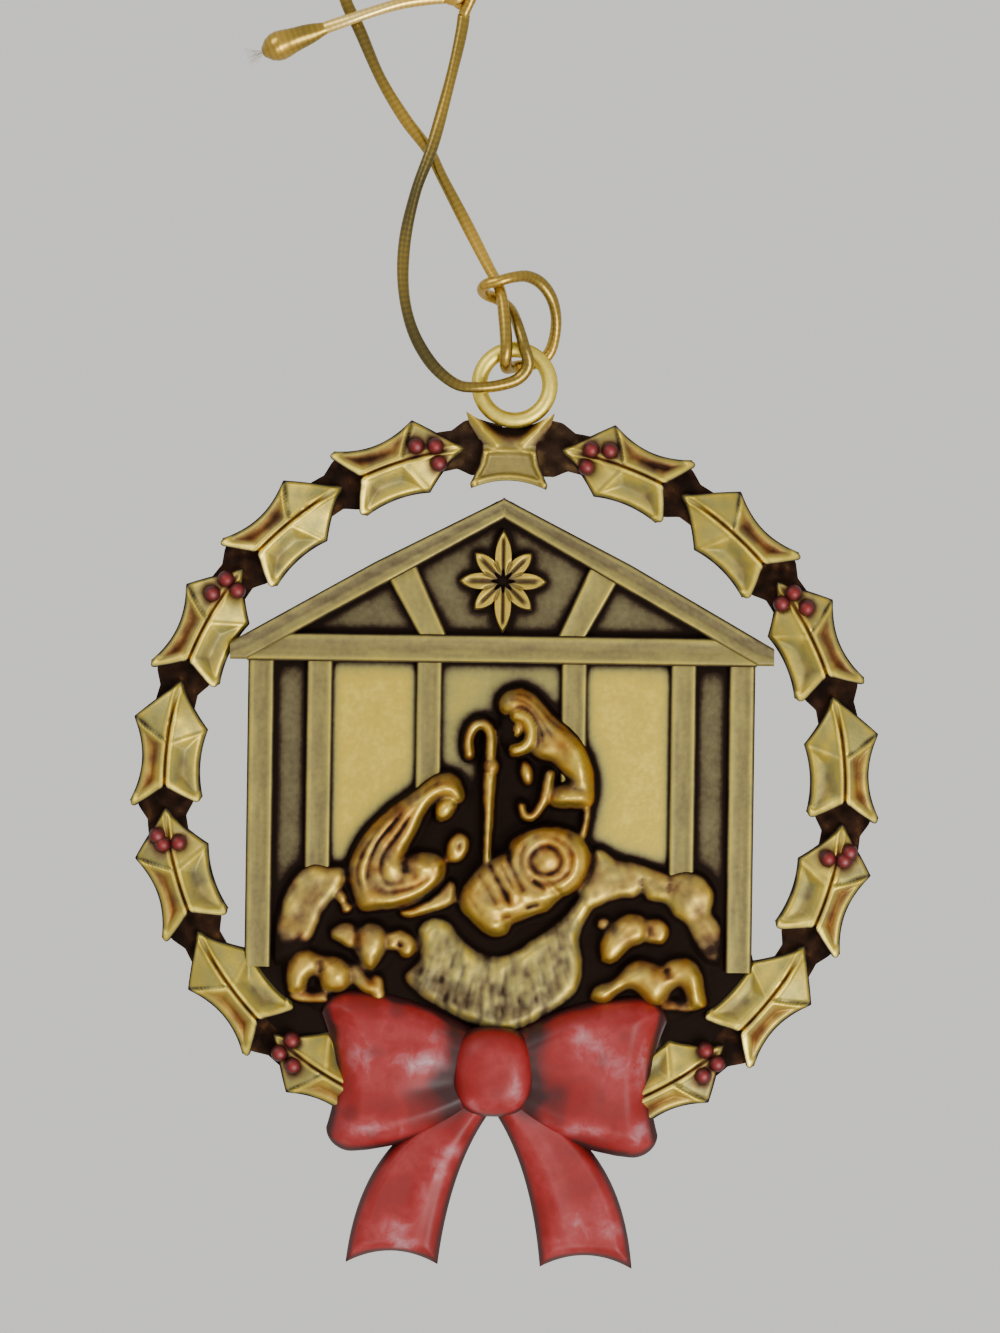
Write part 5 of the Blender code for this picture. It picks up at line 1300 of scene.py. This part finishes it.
# Painted shade on the upper veil, which faces up; the hand and knee are made a little brighter.
group_dark += 0.12 * spot(-9.4, -3.0, 1.8, 0.7, 40) - 0.1 * spot(-7.0, -7.4, 0.6, 0.5)
group_dark -= 0.08 * spot(-10.0, -7.5, 1.0, 1.0)
cushion(
    [
        (-8.8, -11.4), (-7.4, -10.85), (-6.2, -10.2), (-5.3, -9.4), (-4.6, -8.6), (-4.25, -9.0),
        (-4.4, -10.3), (-5.4, -10.8), (-6.8, -11.2), (-8.0, -11.6),
    ], 0.7, 2.7, 1.6, 0.05,
)
lump(-14.1, -10.15, 0.45, 0.7, 15, 2.5, 1.6, 0.15)
lump(-13.65, -11.05, 0.5, 0.5, 0, 2.5, 1.6, 0.1)
lump(-4.05, -5.55, 0.95, 1.4, -20, 3.0, 1.7)
group_dark += 0.35 * spot(-3.85, -5.4, 0.2, 0.5, -10)
group -= 0.4 * spot(-3.85, -5.4, 0.24, 0.55, -10)
print_share("kneeling figure")

# %% [markdown]
# ## Standing figure
# The standing figure bends over the child: long hair in parallel locks that runs into a heavy cloak, a curl
# round the ear whose end hints at a beard, a wide sleeve, and a shepherd's crook held upright in front. The
# face is painted dark, as shadow between hair and crook, and is only a plain oval with a small nose.

# %% Standing figure in the relief
# The face and nose are painted dark, as shadow between hair and crook.
lump(0.35, 4.9, 0.95, 1.5, -6, 2.5, 1.7, 0.5)
lump(-0.55, 4.75, 0.25, 0.3, -15, 2.3, 1.7, 0.45)
cushion(
    [
        (1.3, 8.5), (2.4, 8.0), (3.1, 7.2), (3.9, 6.3), (5.1, 5.3), (6.3, 4.1), (7.1, 2.7), (7.6, 1.2),
        (7.7, -0.2), (7.5, -1.5), (5.9, -1.7), (4.3, -1.6), (4.1, -0.3), (4.9, 0.1), (5.75, 0.55),
        (5.0, 1.5), (4.1, 2.3), (3.2, 2.5), (2.4, 2.9), (1.9, 3.8), (1.8, 4.8), (1.5, 5.6), (0.9, 6.1),
        (0.2, 6.3), (-0.4, 6.6), (-0.6, 7.4), (0.1, 8.2),
    ], 1.4, 3.4, 1.5, 0.06,
)
fold([(0.3, 8.0), (1.5, 8.0), (2.7, 7.1), (3.9, 5.8), (5.4, 4.7)], 0.14, -0.22, 0.14)
fold([(-0.3, 7.3), (0.9, 7.6), (2.0, 7.1), (2.9, 6.1), (3.7, 4.9), (4.4, 4.0)], 0.14, -0.24, 0.16)
fold([(0.2, 6.9), (1.3, 7.0), (2.2, 6.4), (2.8, 5.5), (3.2, 4.4), (3.3, 3.4)], 0.14, -0.24, 0.16)
fold([(1.6, 6.4), (2.3, 5.7), (2.7, 4.8), (2.8, 3.8), (2.6, 3.1)], 0.14, -0.24, 0.16)
fold([(5.3, 4.4), (6.2, 3.2), (6.6, 2.0), (6.5, 0.7)], 0.7, 0.4, -0.1)
fold([(4.3, -0.9), (5.9, -1.0), (7.3, -0.8)], 0.45, 0.3, -0.14)
fold([(5.6, 0.2), (6.6, -0.1), (7.5, 0.0)], 0.25, -0.2, 0.15)
group_dark += 0.2 * spot(3.0, 3.0, 0.4, 0.35) - 0.06 * spot(3.8, 3.5, 0.6, 0.6)
group_dark -= 0.1 * spot(6.2, 2.0, 1.0, 1.8)
bar([(0.9, 6.2), (1.7, 6.0), (2.15, 5.1), (2.1, 4.1), (1.6, 3.4), (0.8, 3.1)], 0.42, 3.8, 2.4, 0.0, -0.14)
lump(1.05, 5.0, 0.32, 0.7, 0, 3.2, 2.0, -0.05)
lump(1.85, 1.2, 0.52, 1.15, 14, 3.0, 1.8)
bar(
    [
        (3.85, 1.1), (3.65, -0.3), (3.2, -1.7), (2.4, -2.7), (1.7, -2.5), (1.45, -1.6),
    ], 0.45, 3.0, 1.8, 0.35, 0.08,
)
bar([(7.3, -2.1), (7.15, -3.0), (6.95, -4.2)], 0.27, 2.6, 1.6, 0.0, 0.1)
bar(
    [
        (-3.2, 2.7), (-3.35, 4.0), (-2.95, 5.0), (-2.3, 5.45), (-1.65, 5.2), (-1.35, 4.2), (-1.35, 2.4),
    ], 0.42, 3.0, 1.6,
)
bar([(-1.4, 0.8), (-1.42, -2.5), (-1.45, -6.6)], 0.52, 3.2, 1.8, 0.5)
lump(-1.3, 1.65, 0.75, 1.0, 0, 3.2, 1.8, 0.2)
print_share("standing figure and crook")

# %% [markdown]
# ## Swaddled child
# The child lies in a nest of cloth. Rolls of cloth go round a small plain head, widest at the lower right,
# where painted light makes them brightest, with painted shade at the upper left, and creases and some lumps
# mark the swaddled body.

# %% Child in the relief
HEAD = (3.7, -6.4)
cushion(
    [
        (-0.3, -6.1), (-1.8, -7.0), (-2.8, -8.2), (-3.65, -9.6), (-3.55, -10.8), (-2.7, -11.7),
        (-1.5, -12.8), (-0.65, -13.15), (0.35, -12.9), (0.8, -12.1), (1.7, -11.7), (2.8, -11.2),
        (3.9, -10.8), (4.6, -10.1), (5.2, -9.2), (3.6, -7.0), (1.5, -5.6),
    ], 1.6, 3.9, 1.5, 0.0,
)
cushion(
    [
        (0.4, -6.4), (0.7, -5.0), (1.8, -4.1), (3.2, -3.6), (4.9, -3.6), (6.4, -4.2), (7.3, -5.3),
        (7.5, -6.6), (7.1, -7.9), (6.2, -9.0), (5.1, -9.5), (4.2, -8.9), (2.6, -8.2), (1.2, -7.6),
    ], 1.2, 3.9, 1.5, 0.04,
)
from_head = np.hypot(group_x - HEAD[0], (group_z - HEAD[1]) * 1.08)
head_turn = np.arctan2(group_z - HEAD[1], group_x - HEAD[0])
# Lower right of the head: the rolls are wider there, and painted light makes them brighter, with painted
# shade at the upper left.
lower_right = 0.5 + 0.5 * np.cos(head_turn + 0.6)
in_nest = 1 - step_up(from_head, 1.9, 3.0) * bump_at(head_turn + 2.5, 0.9)
in_nest = in_nest * (1 - step_up(from_head, 3.4, 3.9))
roll_wave = np.cos(2 * math.pi * (from_head / 0.93 + 0.04 * np.sin(3 * head_turn)) + 0.4)
group += in_nest * (0.13 * roll_wave * (0.5 + 0.5 * lower_right) - 0.12 * bump_at(from_head - 1.2, 0.4))
group_dark += in_nest * (0.07 * (0.3 - roll_wave) - 0.1 * lower_right * step_up(from_head, 2.3, 3.2))
group_dark += 0.12 * bump_at(from_head - 1.2, 0.35) * (1 - lower_right)
group_dark += 0.3 * spot(6.0, -5.2, 0.3, 1.0, 20)
lump(*HEAD, 0.9, 0.9, 0, 4.1, 3.65, 0.0)
fold([(0.3, -5.9), (0.8, -7.1), (1.4, -8.4), (2.2, -9.6)], 0.16, -0.28, 0.16)
fold([(-1.3, -6.6), (-0.7, -7.8), (0.3, -9.5), (1.0, -11.0)], 0.18, -0.36, 0.2)
fold([(-2.4, -7.4), (-1.8, -8.3), (-0.9, -9.7), (-0.3, -10.8)], 0.15, -0.24, 0.14)
fold([(-0.4, -6.3), (0.3, -7.8), (1.2, -9.4)], 0.12, -0.15, 0.15)
fold([(-3.2, -9.3), (-2.6, -10.2), (-1.8, -11.4)], 0.14, -0.15, 0.14)
fold([(2.3, -7.9), (3.3, -8.7), (4.3, -9.2)], 0.2, -0.3, 0.2)
fold([(1.7, -10.9), (2.6, -10.5), (3.8, -10.3)], 0.25, -0.4, 0.35)
fold([(-0.4, -11.8), (0.4, -11.5), (1.2, -11.2)], 0.22, -0.3, 0.25)
# Lumps on the body, raised and made brighter: rubbed brass with a painted highlight on each.
for x, z, half_width, half_height in (
    (1.0, -9.5, 0.35, 0.6), (1.9, -9.6, 0.35, 0.4), (-0.75, -10.9, 0.7, 0.35), (0.45, -10.6, 0.6, 0.4),
    (-0.7, -12.35, 0.5, 0.4),
):
    group += 0.25 * spot(x, z, half_width, half_height)
    group_dark -= 0.16 * spot(x, z, half_width, half_height)
print_share("swaddled child")

# %% [markdown]
# ## From heights to a casting
# Between the forms lies a dark ground that hides the stable's posts. The heights are softened as casting
# softens every edge. A place lower than what is round it keeps the dark bath, and a higher one is rubbed
# bright. Slopes that look up or to the left get a little painted shade.

# %% The relief as one piece
GROUND_EDGE, GROUND_HEIGHT = 1.1, 1.5
GROUND = [
    (-19.8, -13.5), (-17.0, -10.0), (-14.2, -8.4), (-12.5, -8.5), (-9.0, -5.5), (-7.3, -2.6), (-5.5, -1.3),
    (-3.6, -0.6), (-2.7, 1.5), (-2.9, 3.6), (-2.2, 4.9), (-1.0, 5.6), (0.0, 6.6), (1.5, 6.4), (3.0, 4.5),
    (5.0, 1.5), (7.2, -1.2), (7.3, -3.5), (7.3, -5.6), (8.0, -7.0), (9.3, -8.5), (12.0, -9.0),
    (15.5, -10.0), (18.0, -12.0), (19.2, -14.0), (18.9, -18.5), (15.0, -21.5), (0.0, -22.3), (-15.0, -21.5),
    (-19.2, -18.0),
]
ground = step_up(depth_in(GROUND), 0.1, 1.2)
bare = 1 - step_up(group, 1.45, 1.75)
rim = 1 - step_up(blurred(1 - bare, GROUP_CELL, 0.3), 0.5, 0.97)
group = np.maximum(group, GROUND_EDGE + (GROUND_HEIGHT - GROUND_EDGE) * ground)
group = blurred(group, GROUP_CELL, 0.15) + 0.05 * strokes(group_x * 2.1 + 70, group_z * 2.1 + 60, 15)
hollow = blurred(group, GROUP_CELL, 0.32) - group
wide_hollow = blurred(group, GROUP_CELL, 0.95) - group
low_lying = np.maximum(0.75 * hollow + 0.3 * wide_hollow, -0.2 + 0.12 * rim)
fall_z, fall_x = np.gradient(blurred(group, GROUP_CELL, 0.2), GROUP_CELL)
# Painted shade on slopes that look up or to the left.
painted_shade_up_left = np.clip(0.12 * fall_x - 0.22 * fall_z, -0.1, 0.16)
worn_skin = strokes(group_x * 1.7 + 60, group_z * 1.7 + 50, 12) - 0.5
group_shade = 0.36 + low_lying + painted_shade_up_left + 0.2 * worn_skin + group_dark + 0.42 * rim
ground_shade = (0.88 + 0.2 * worn_skin) * blurred(bare, GROUP_CELL, 0.12)
group_shade = np.clip(np.maximum(group_shade, ground_shade), 0.04, 0.97)
warm_patch = strokes(group_x * 0.8 + 40, group_z * 0.8 + 45, 17)
on_mounds = step_up(np.abs(group_x), 6.5, 8.5)
group_shade -= 0.07 * on_mounds * (group <= hay_height + 0.1)
hay_warmth = (0.15 + 0.35 * on_mounds) * (0.4 + warm_patch) + 0.5 * rim
group_warmth = np.where(group > hay_height + 0.1, 0.35 + 0.7 * warm_patch + 0.6 * rim, hay_warmth)
group_warmth = np.clip(group_warmth, 0, 1) * (1 - 0.6 * bare)
narrowed_x = group_x * np.interp(group_z, [-24.5, -19.0], [14.2 / 19.8, 1.0])  # the foot is behind the bow
relief(
    "figures_hay_and_sheep", narrowed_x, group_z, group, group_shade, antiqued_brass, 0.3,
    warmth=group_warmth, sharp_deg=180,
)
print("relief of", group.size, "points, up to", round(float(group.max()), 2), "mm")

# %% [markdown]
# ## The wall of the stable
# The wall is bright in the two wide bays, a little duller in the middle one, dull in the narrow ones by the
# corners and dark in the gable, with a dark halo beside all that stands on it.

# %% Wall
raster_x, raster_z = in_stable(RASTER_X[None, :], RASTER_Z[:, None])
rows = np.clip(((raster_z - group_z[0, 0]) / GROUP_CELL).astype(int), 0, group.shape[0] - 1)
columns = np.clip(((raster_x - group_x[0, 0]) / GROUP_CELL).astype(int), 0, group.shape[1] - 1)
covered = (group[rows, columns] > COVERED_HEIGHT) * 1.0
in_gable = (RASTER_Z > BEAM_TOP)[:, None] * 1.0
halo = 1.3 * blurred(np.maximum(on_wall, covered), RASTER, 0.4) + 0.6 * blurred(covered, RASTER, 0.95)
halo += in_gable * 0.25 * blurred(on_wall, RASTER, 0.9)

WALL_FOOT, WALL_TOP, WALL_HALF = -24.5, 25.0, 22.18
wall_rows = np.linspace(WALL_FOOT, WALL_TOP, 200)[:, None]
wall_half = np.interp(
    wall_rows, [WALL_FOOT, -19.757, -16.0, -14.0, 13.1, WALL_TOP],
    [16.8, 21.3, 22.7, WALL_HALF, WALL_HALF, 0.6],
)
wall_x = wall_half * np.linspace(-1, 1, 181)
wall_z = np.broadcast_to(wall_rows, wall_x.shape)
bay_shade = np.interp(
    np.abs(wall_x), [0, 5.0, 5.6, 7.2, 7.8, 14.6, 15.2, 17.0, 17.3, 22],
    [0.24, 0.26, 0.28, 0.28, 0.1, 0.1, 0.5, 0.5, 0.52, 0.52],
)
wall_shade = np.where(wall_z > BEAM_TOP, 0.5, bay_shade + 0.12 * step_up(wall_z, 8.8, 10.6))
wall_shade = wall_shade + sampled(halo, wall_x, wall_z) * 0.75 + 0.45 * step_up(-wall_z, 12.0, 15.0)
relief("stable_wall", *in_stable(wall_x, wall_z), WALL_HEIGHT, wall_shade, antiqued_brass, 0.12, warmth=0.0)
print("wall", 2 * WALL_HALF, "mm wide between the eaves")

# %% [markdown]
# ## The bow
# The bow is a separate-looking mass of two loops, two tails and a knot, all cast with the rest and painted
# red. The loops are plump: each is a grid from the knot outwards, its height a flat dome that rounds over
# quickly at the edges. The paint is worn through to a pinkish grey at the places that stand out, and the
# same pale tone is laid on as painted highlights; both are named here by their place and reach in
# millimetres. The paint stops short of the flat back, so a thin brass piece lies under each loop and tail.

# %% Sizes of the bow
BOW_SHIFT, BOW_DROP = -0.4, 25.1
KNOT_HALF_WIDTH, KNOT_HALF_HEIGHT, KNOT_HEIGHT = 3.6, 4.0, 5.0
LOOP_REACH, LOOP_HALF_HEIGHT, LOOP_SEAT = 14.5, 6.6, 0.3
LOOP_EDGE, LOOP_CREST = 2.3, 3.8
PAINT_FROM = 0.5  # below this the bow is bare casting
LOOP_ROUND_FROM = 0.83  # share of the reach from where the corners are rounded
# Shares of the reach, and the half height there as a share of LOOP_HALF_HEIGHT
LOOP_STOPS = [0, 0.12, 0.25, 0.37, 0.5, 0.62, 0.75, 0.87, 1.0]
LOOP_SHARES = [0.4, 0.56, 0.71, 0.84, 0.94, 1.01, 1.06, 1.08, 1.08]
TAIL_ROOT, TAIL_ROOT_GAP, TAIL_DROP, TAIL_REACH, TAIL_GAP = 3.3, -0.4, 17.2, 12.6, 9.0
TAIL_EDGE, TAIL_CREST, TAIL_NOTCH = 1.5, 2.5, 1.1
# Right and up of each worn place and painted highlight, half its width and height, and how strong it is
WORN_AND_LIT = [
    (-6.4, -24.5, 1.8, 0.8, 1.3), (-11.7, -23.6, 2.3, 1.8, 0.5), (-13.5, -21.9, 1.2, 0.9, 0.4),
    (-10.6, -30.3, 1.9, 0.8, 0.8), (-5.2, -22.5, 0.9, 0.7, 0.4), (8.2, -22.6, 2.1, 1.8, 0.65),
    (10.5, -25.0, 1.8, 1.6, 0.5), (12.8, -23.9, 0.6, 2.5, 0.6), (7.5, -30.0, 1.8, 0.7, 0.85),
    (12.7, -29.9, 0.7, 0.9, 0.85), (4.3, -29.5, 0.9, 0.5, 0.4), (-1.7, -28.0, 1.1, 0.6, 0.9),
    (1.5, -26.8, 0.5, 1.2, 0.9), (-0.7, -24.2, 1.8, 2.2, 0.2), (-3.6, -32.2, 1.2, 0.7, 0.7),
    (-4.9, -34.0, 0.7, 0.9, 0.8), (-6.4, -36.0, 0.5, 1.1, 0.8), (-8.9, -39.2, 1.2, 1.1, 0.75),
    (-7.8, -40.6, 1.1, 0.5, 0.6), (-12.2, -41.7, 0.5, 0.5, 0.6), (-1.0, -30.1, 0.9, 0.7, 0.6),
    (7.1, -38.5, 1.4, 1.4, 0.65), (9.3, -36.3, 0.7, 0.7, 0.45), (10.4, -39.3, 1.2, 0.9, 0.55),
    (11.8, -41.7, 0.7, 0.4, 0.6), (4.3, -32.0, 0.7, 0.7, 0.3),
]


def worn_and_lit_at(x, z):
    """Sum of the bells of the worn places and painted highlights, on top of a little blotchy wear everywhere.
    """
    wear_and_sheen = 0.15 + 0.3 * step_up(strokes(x * 0.42 + 50, z * 0.42 + 60, 41), 0.4, 0.9)
    for right, up, half_width, half_height, strength in WORN_AND_LIT:
        wear_and_sheen += strength * np.exp(-(((x - right) / half_width) ** 2 + ((z - up) / half_height) ** 2) / 1.6)
    return np.minimum(wear_and_sheen, 1.5)


print(len(WORN_AND_LIT), "worn places")

# %% [markdown]
# ## The loops of the bow
# A loop swells out from the knot like a small pillow. A deep crease runs into it beside the knot, where the
# cloth is gathered; it and a band along the knot get painted shade.

# %% Loops
def bow_loop(name, side):
    """Grid out from the knot and up across the loop, which is a cushion, creased beside the knot.

    Its height follows the square root of a step in from the edge, less the crease, a bell round a line.
    """
    rounding = np.sin(np.linspace(0, math.pi / 2, 15))
    even = np.linspace(0.04, LOOP_ROUND_FROM, 44)[:-1]
    out = np.concatenate([even, LOOP_ROUND_FROM + (1 - LOOP_ROUND_FROM) * rounding])[:, None]
    up = np.linspace(-1, 1, 61)
    round_off = 1 - np.sqrt(1 - np.clip((out - LOOP_ROUND_FROM) / (1 - LOOP_ROUND_FROM), 0, 1) ** 2)
    half = LOOP_HALF_HEIGHT * np.interp(out, LOOP_STOPS, LOOP_SHARES) * (1 - 0.3 * round_off)
    x = LOOP_REACH * out * (0.95 + 0.075 * np.abs(up) ** 1.6 + 0.02 * up)
    z = -BOW_DROP - LOOP_SEAT * out + half * up
    x = side * x + BOW_SHIFT
    from_edge = np.minimum((1 - np.abs(up)) * half, (1 - out) * LOOP_REACH)
    dome = np.sqrt(step_up(from_edge, -0.2, 2.4))
    crease = bump_at(up * half + 0.6 + out * 2.0, 1.3) * (1 - step_up(out, 0.25, 0.66))
    swell = 0.25 * np.cos(up * 2.2 * math.pi) * out
    height = LOOP_EDGE - 0.9 + (LOOP_CREST - LOOP_EDGE + 0.8) * dome + 0.3 * swell - 0.6 * crease
    pooled = step_up(strokes(x * 0.55 + 40, z * 0.55 + 50, 43), 0.5, 0.95)
    shade_by_knot = bump_at(out - 0.23, 0.09)
    # Dark at the edges, from pooled paint and painted shade; painted shade in the crease and beside the knot;
    # pools at random.
    shade = 0.8 * (1 - step_up(from_edge, 0.1, 0.8)) + 0.42 * crease + 0.75 * shade_by_knot + 0.35 * pooled
    relief(f"{name}_back", x, z, PAINT_FROM + 0.05, 0.6, antiqued_brass, 0.16)
    relief(name, x, z, np.clip(height, 1.0, LOOP_CREST), shade, red_enamel, PAINT_FROM, worn_and_lit_at(x, z))


for side, word in ((-1, "left"), (1, "right")):
    bow_loop(f"bow_loop_{word}", side)
print("loops reach", LOOP_REACH, "mm out and stand", LOOP_CREST, "mm above the flat back")

# %% [markdown]
# ## The tails and the knot of the bow
# A tail is a ribbon between two curves that leave the knot together and spread downwards. The knot is a
# plump boss over the place where all four meet.

# %% Tails and knot
def bow_tail(name, side):
    """Ribbon between two quadratic curves that ends in a hollow foot.

    A curve's start, middle and end count (1 - t)^2, 2 t (1 - t) and t^2 of it.
    """
    t = np.linspace(0, 1, 61)[:, None]
    v = np.linspace(0, 1, 33)
    start, middle, end = (1 - t) ** 2, 2 * t * (1 - t), t**2
    inner = TAIL_GAP / 2
    x_in = start * TAIL_ROOT_GAP + middle * inner * 0.78 + end * inner
    x_out = start * (TAIL_ROOT_GAP + TAIL_ROOT) + middle * TAIL_REACH * 0.92 + end * TAIL_REACH
    root = -KNOT_HALF_HEIGHT * (0.7 * start + middle) - end * TAIL_DROP
    z_in, z_out = root - middle * 3.8, root - middle * 2.2
    x = side * (x_in + (x_out - x_in) * v) + BOW_SHIFT
    z = z_in + (z_out - z_in) * v + TAIL_NOTCH * (1 - (2 * v - 1) ** 2) * t**8 - BOW_DROP
    wide = np.hypot(x_out - x_in, z_out - z_in)
    from_edge = np.minimum(np.minimum(v, 1 - v) * wide, (1 - t) * TAIL_DROP)
    dome = np.sqrt(step_up(from_edge, -0.15, 1.3))
    ridge = bump_at((v - 0.3) * wide, 0.8) * np.sin(t * math.pi)
    height = TAIL_EDGE - 0.5 + (TAIL_CREST - TAIL_EDGE + 0.4) * dome + 0.8 * (1 - t) ** 3
    height = height - 0.25 + 0.25 * ridge
    loop_shadow = bump_at(t, 0.2) * step_up(v, 0.2, 0.6)
    # Dark at the edges, from pooled paint and painted shade, and a painted shadow of the loop over the root.
    shade = 0.78 * (1 - step_up(from_edge, 0.1, 0.75)) + 0.7 * loop_shadow
    relief(f"{name}_back", x, z, PAINT_FROM + 0.05, 0.6, antiqued_brass, 0.18)
    relief(name, x, z, np.clip(height, 0.9, 3.3), shade, red_enamel, PAINT_FROM, worn_and_lit_at(x, z))


def bow_knot():
    """Boss whose outline is |x|^2.7 + |z|^2.7 = 1, and its height a steep-sided dome, (1 - far^4)^0.6."""
    a, b, far = disc(49)
    turn = np.arctan2(b, a)
    full = (np.abs(np.cos(turn)) ** 2.7 + np.abs(np.sin(turn)) ** 2.7) ** (-1 / 2.7)
    x, z = a * full * KNOT_HALF_WIDTH + BOW_SHIFT, b * full * KNOT_HALF_HEIGHT - BOW_DROP
    height = 2.2 + (KNOT_HEIGHT - 2.2) * (1 - far**4) ** 0.6
    # Dark round its foot, from pooled paint and painted shade.
    shade = 0.85 * step_up(far, 0.84, 1.0)
    relief("bow_knot", x, z, height, shade, red_enamel, 1.0, worn_and_lit_at(x, z) * 0.7 + 0.1)


for side, word in ((-1, "left"), (1, "right")):
    bow_tail(f"bow_tail_{word}", side)
bow_knot()
print("tails end", TAIL_DROP, "mm below the middle of a knot", 2 * KNOT_HALF_WIDTH, "mm wide")

# %% [markdown]
# ## The solid casting
# The imported solid casting is hidden, since the dressed pieces stand in for it.

# %% Hiding the solid casting
for piece in casting_pieces:
    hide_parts("ornament_casting")
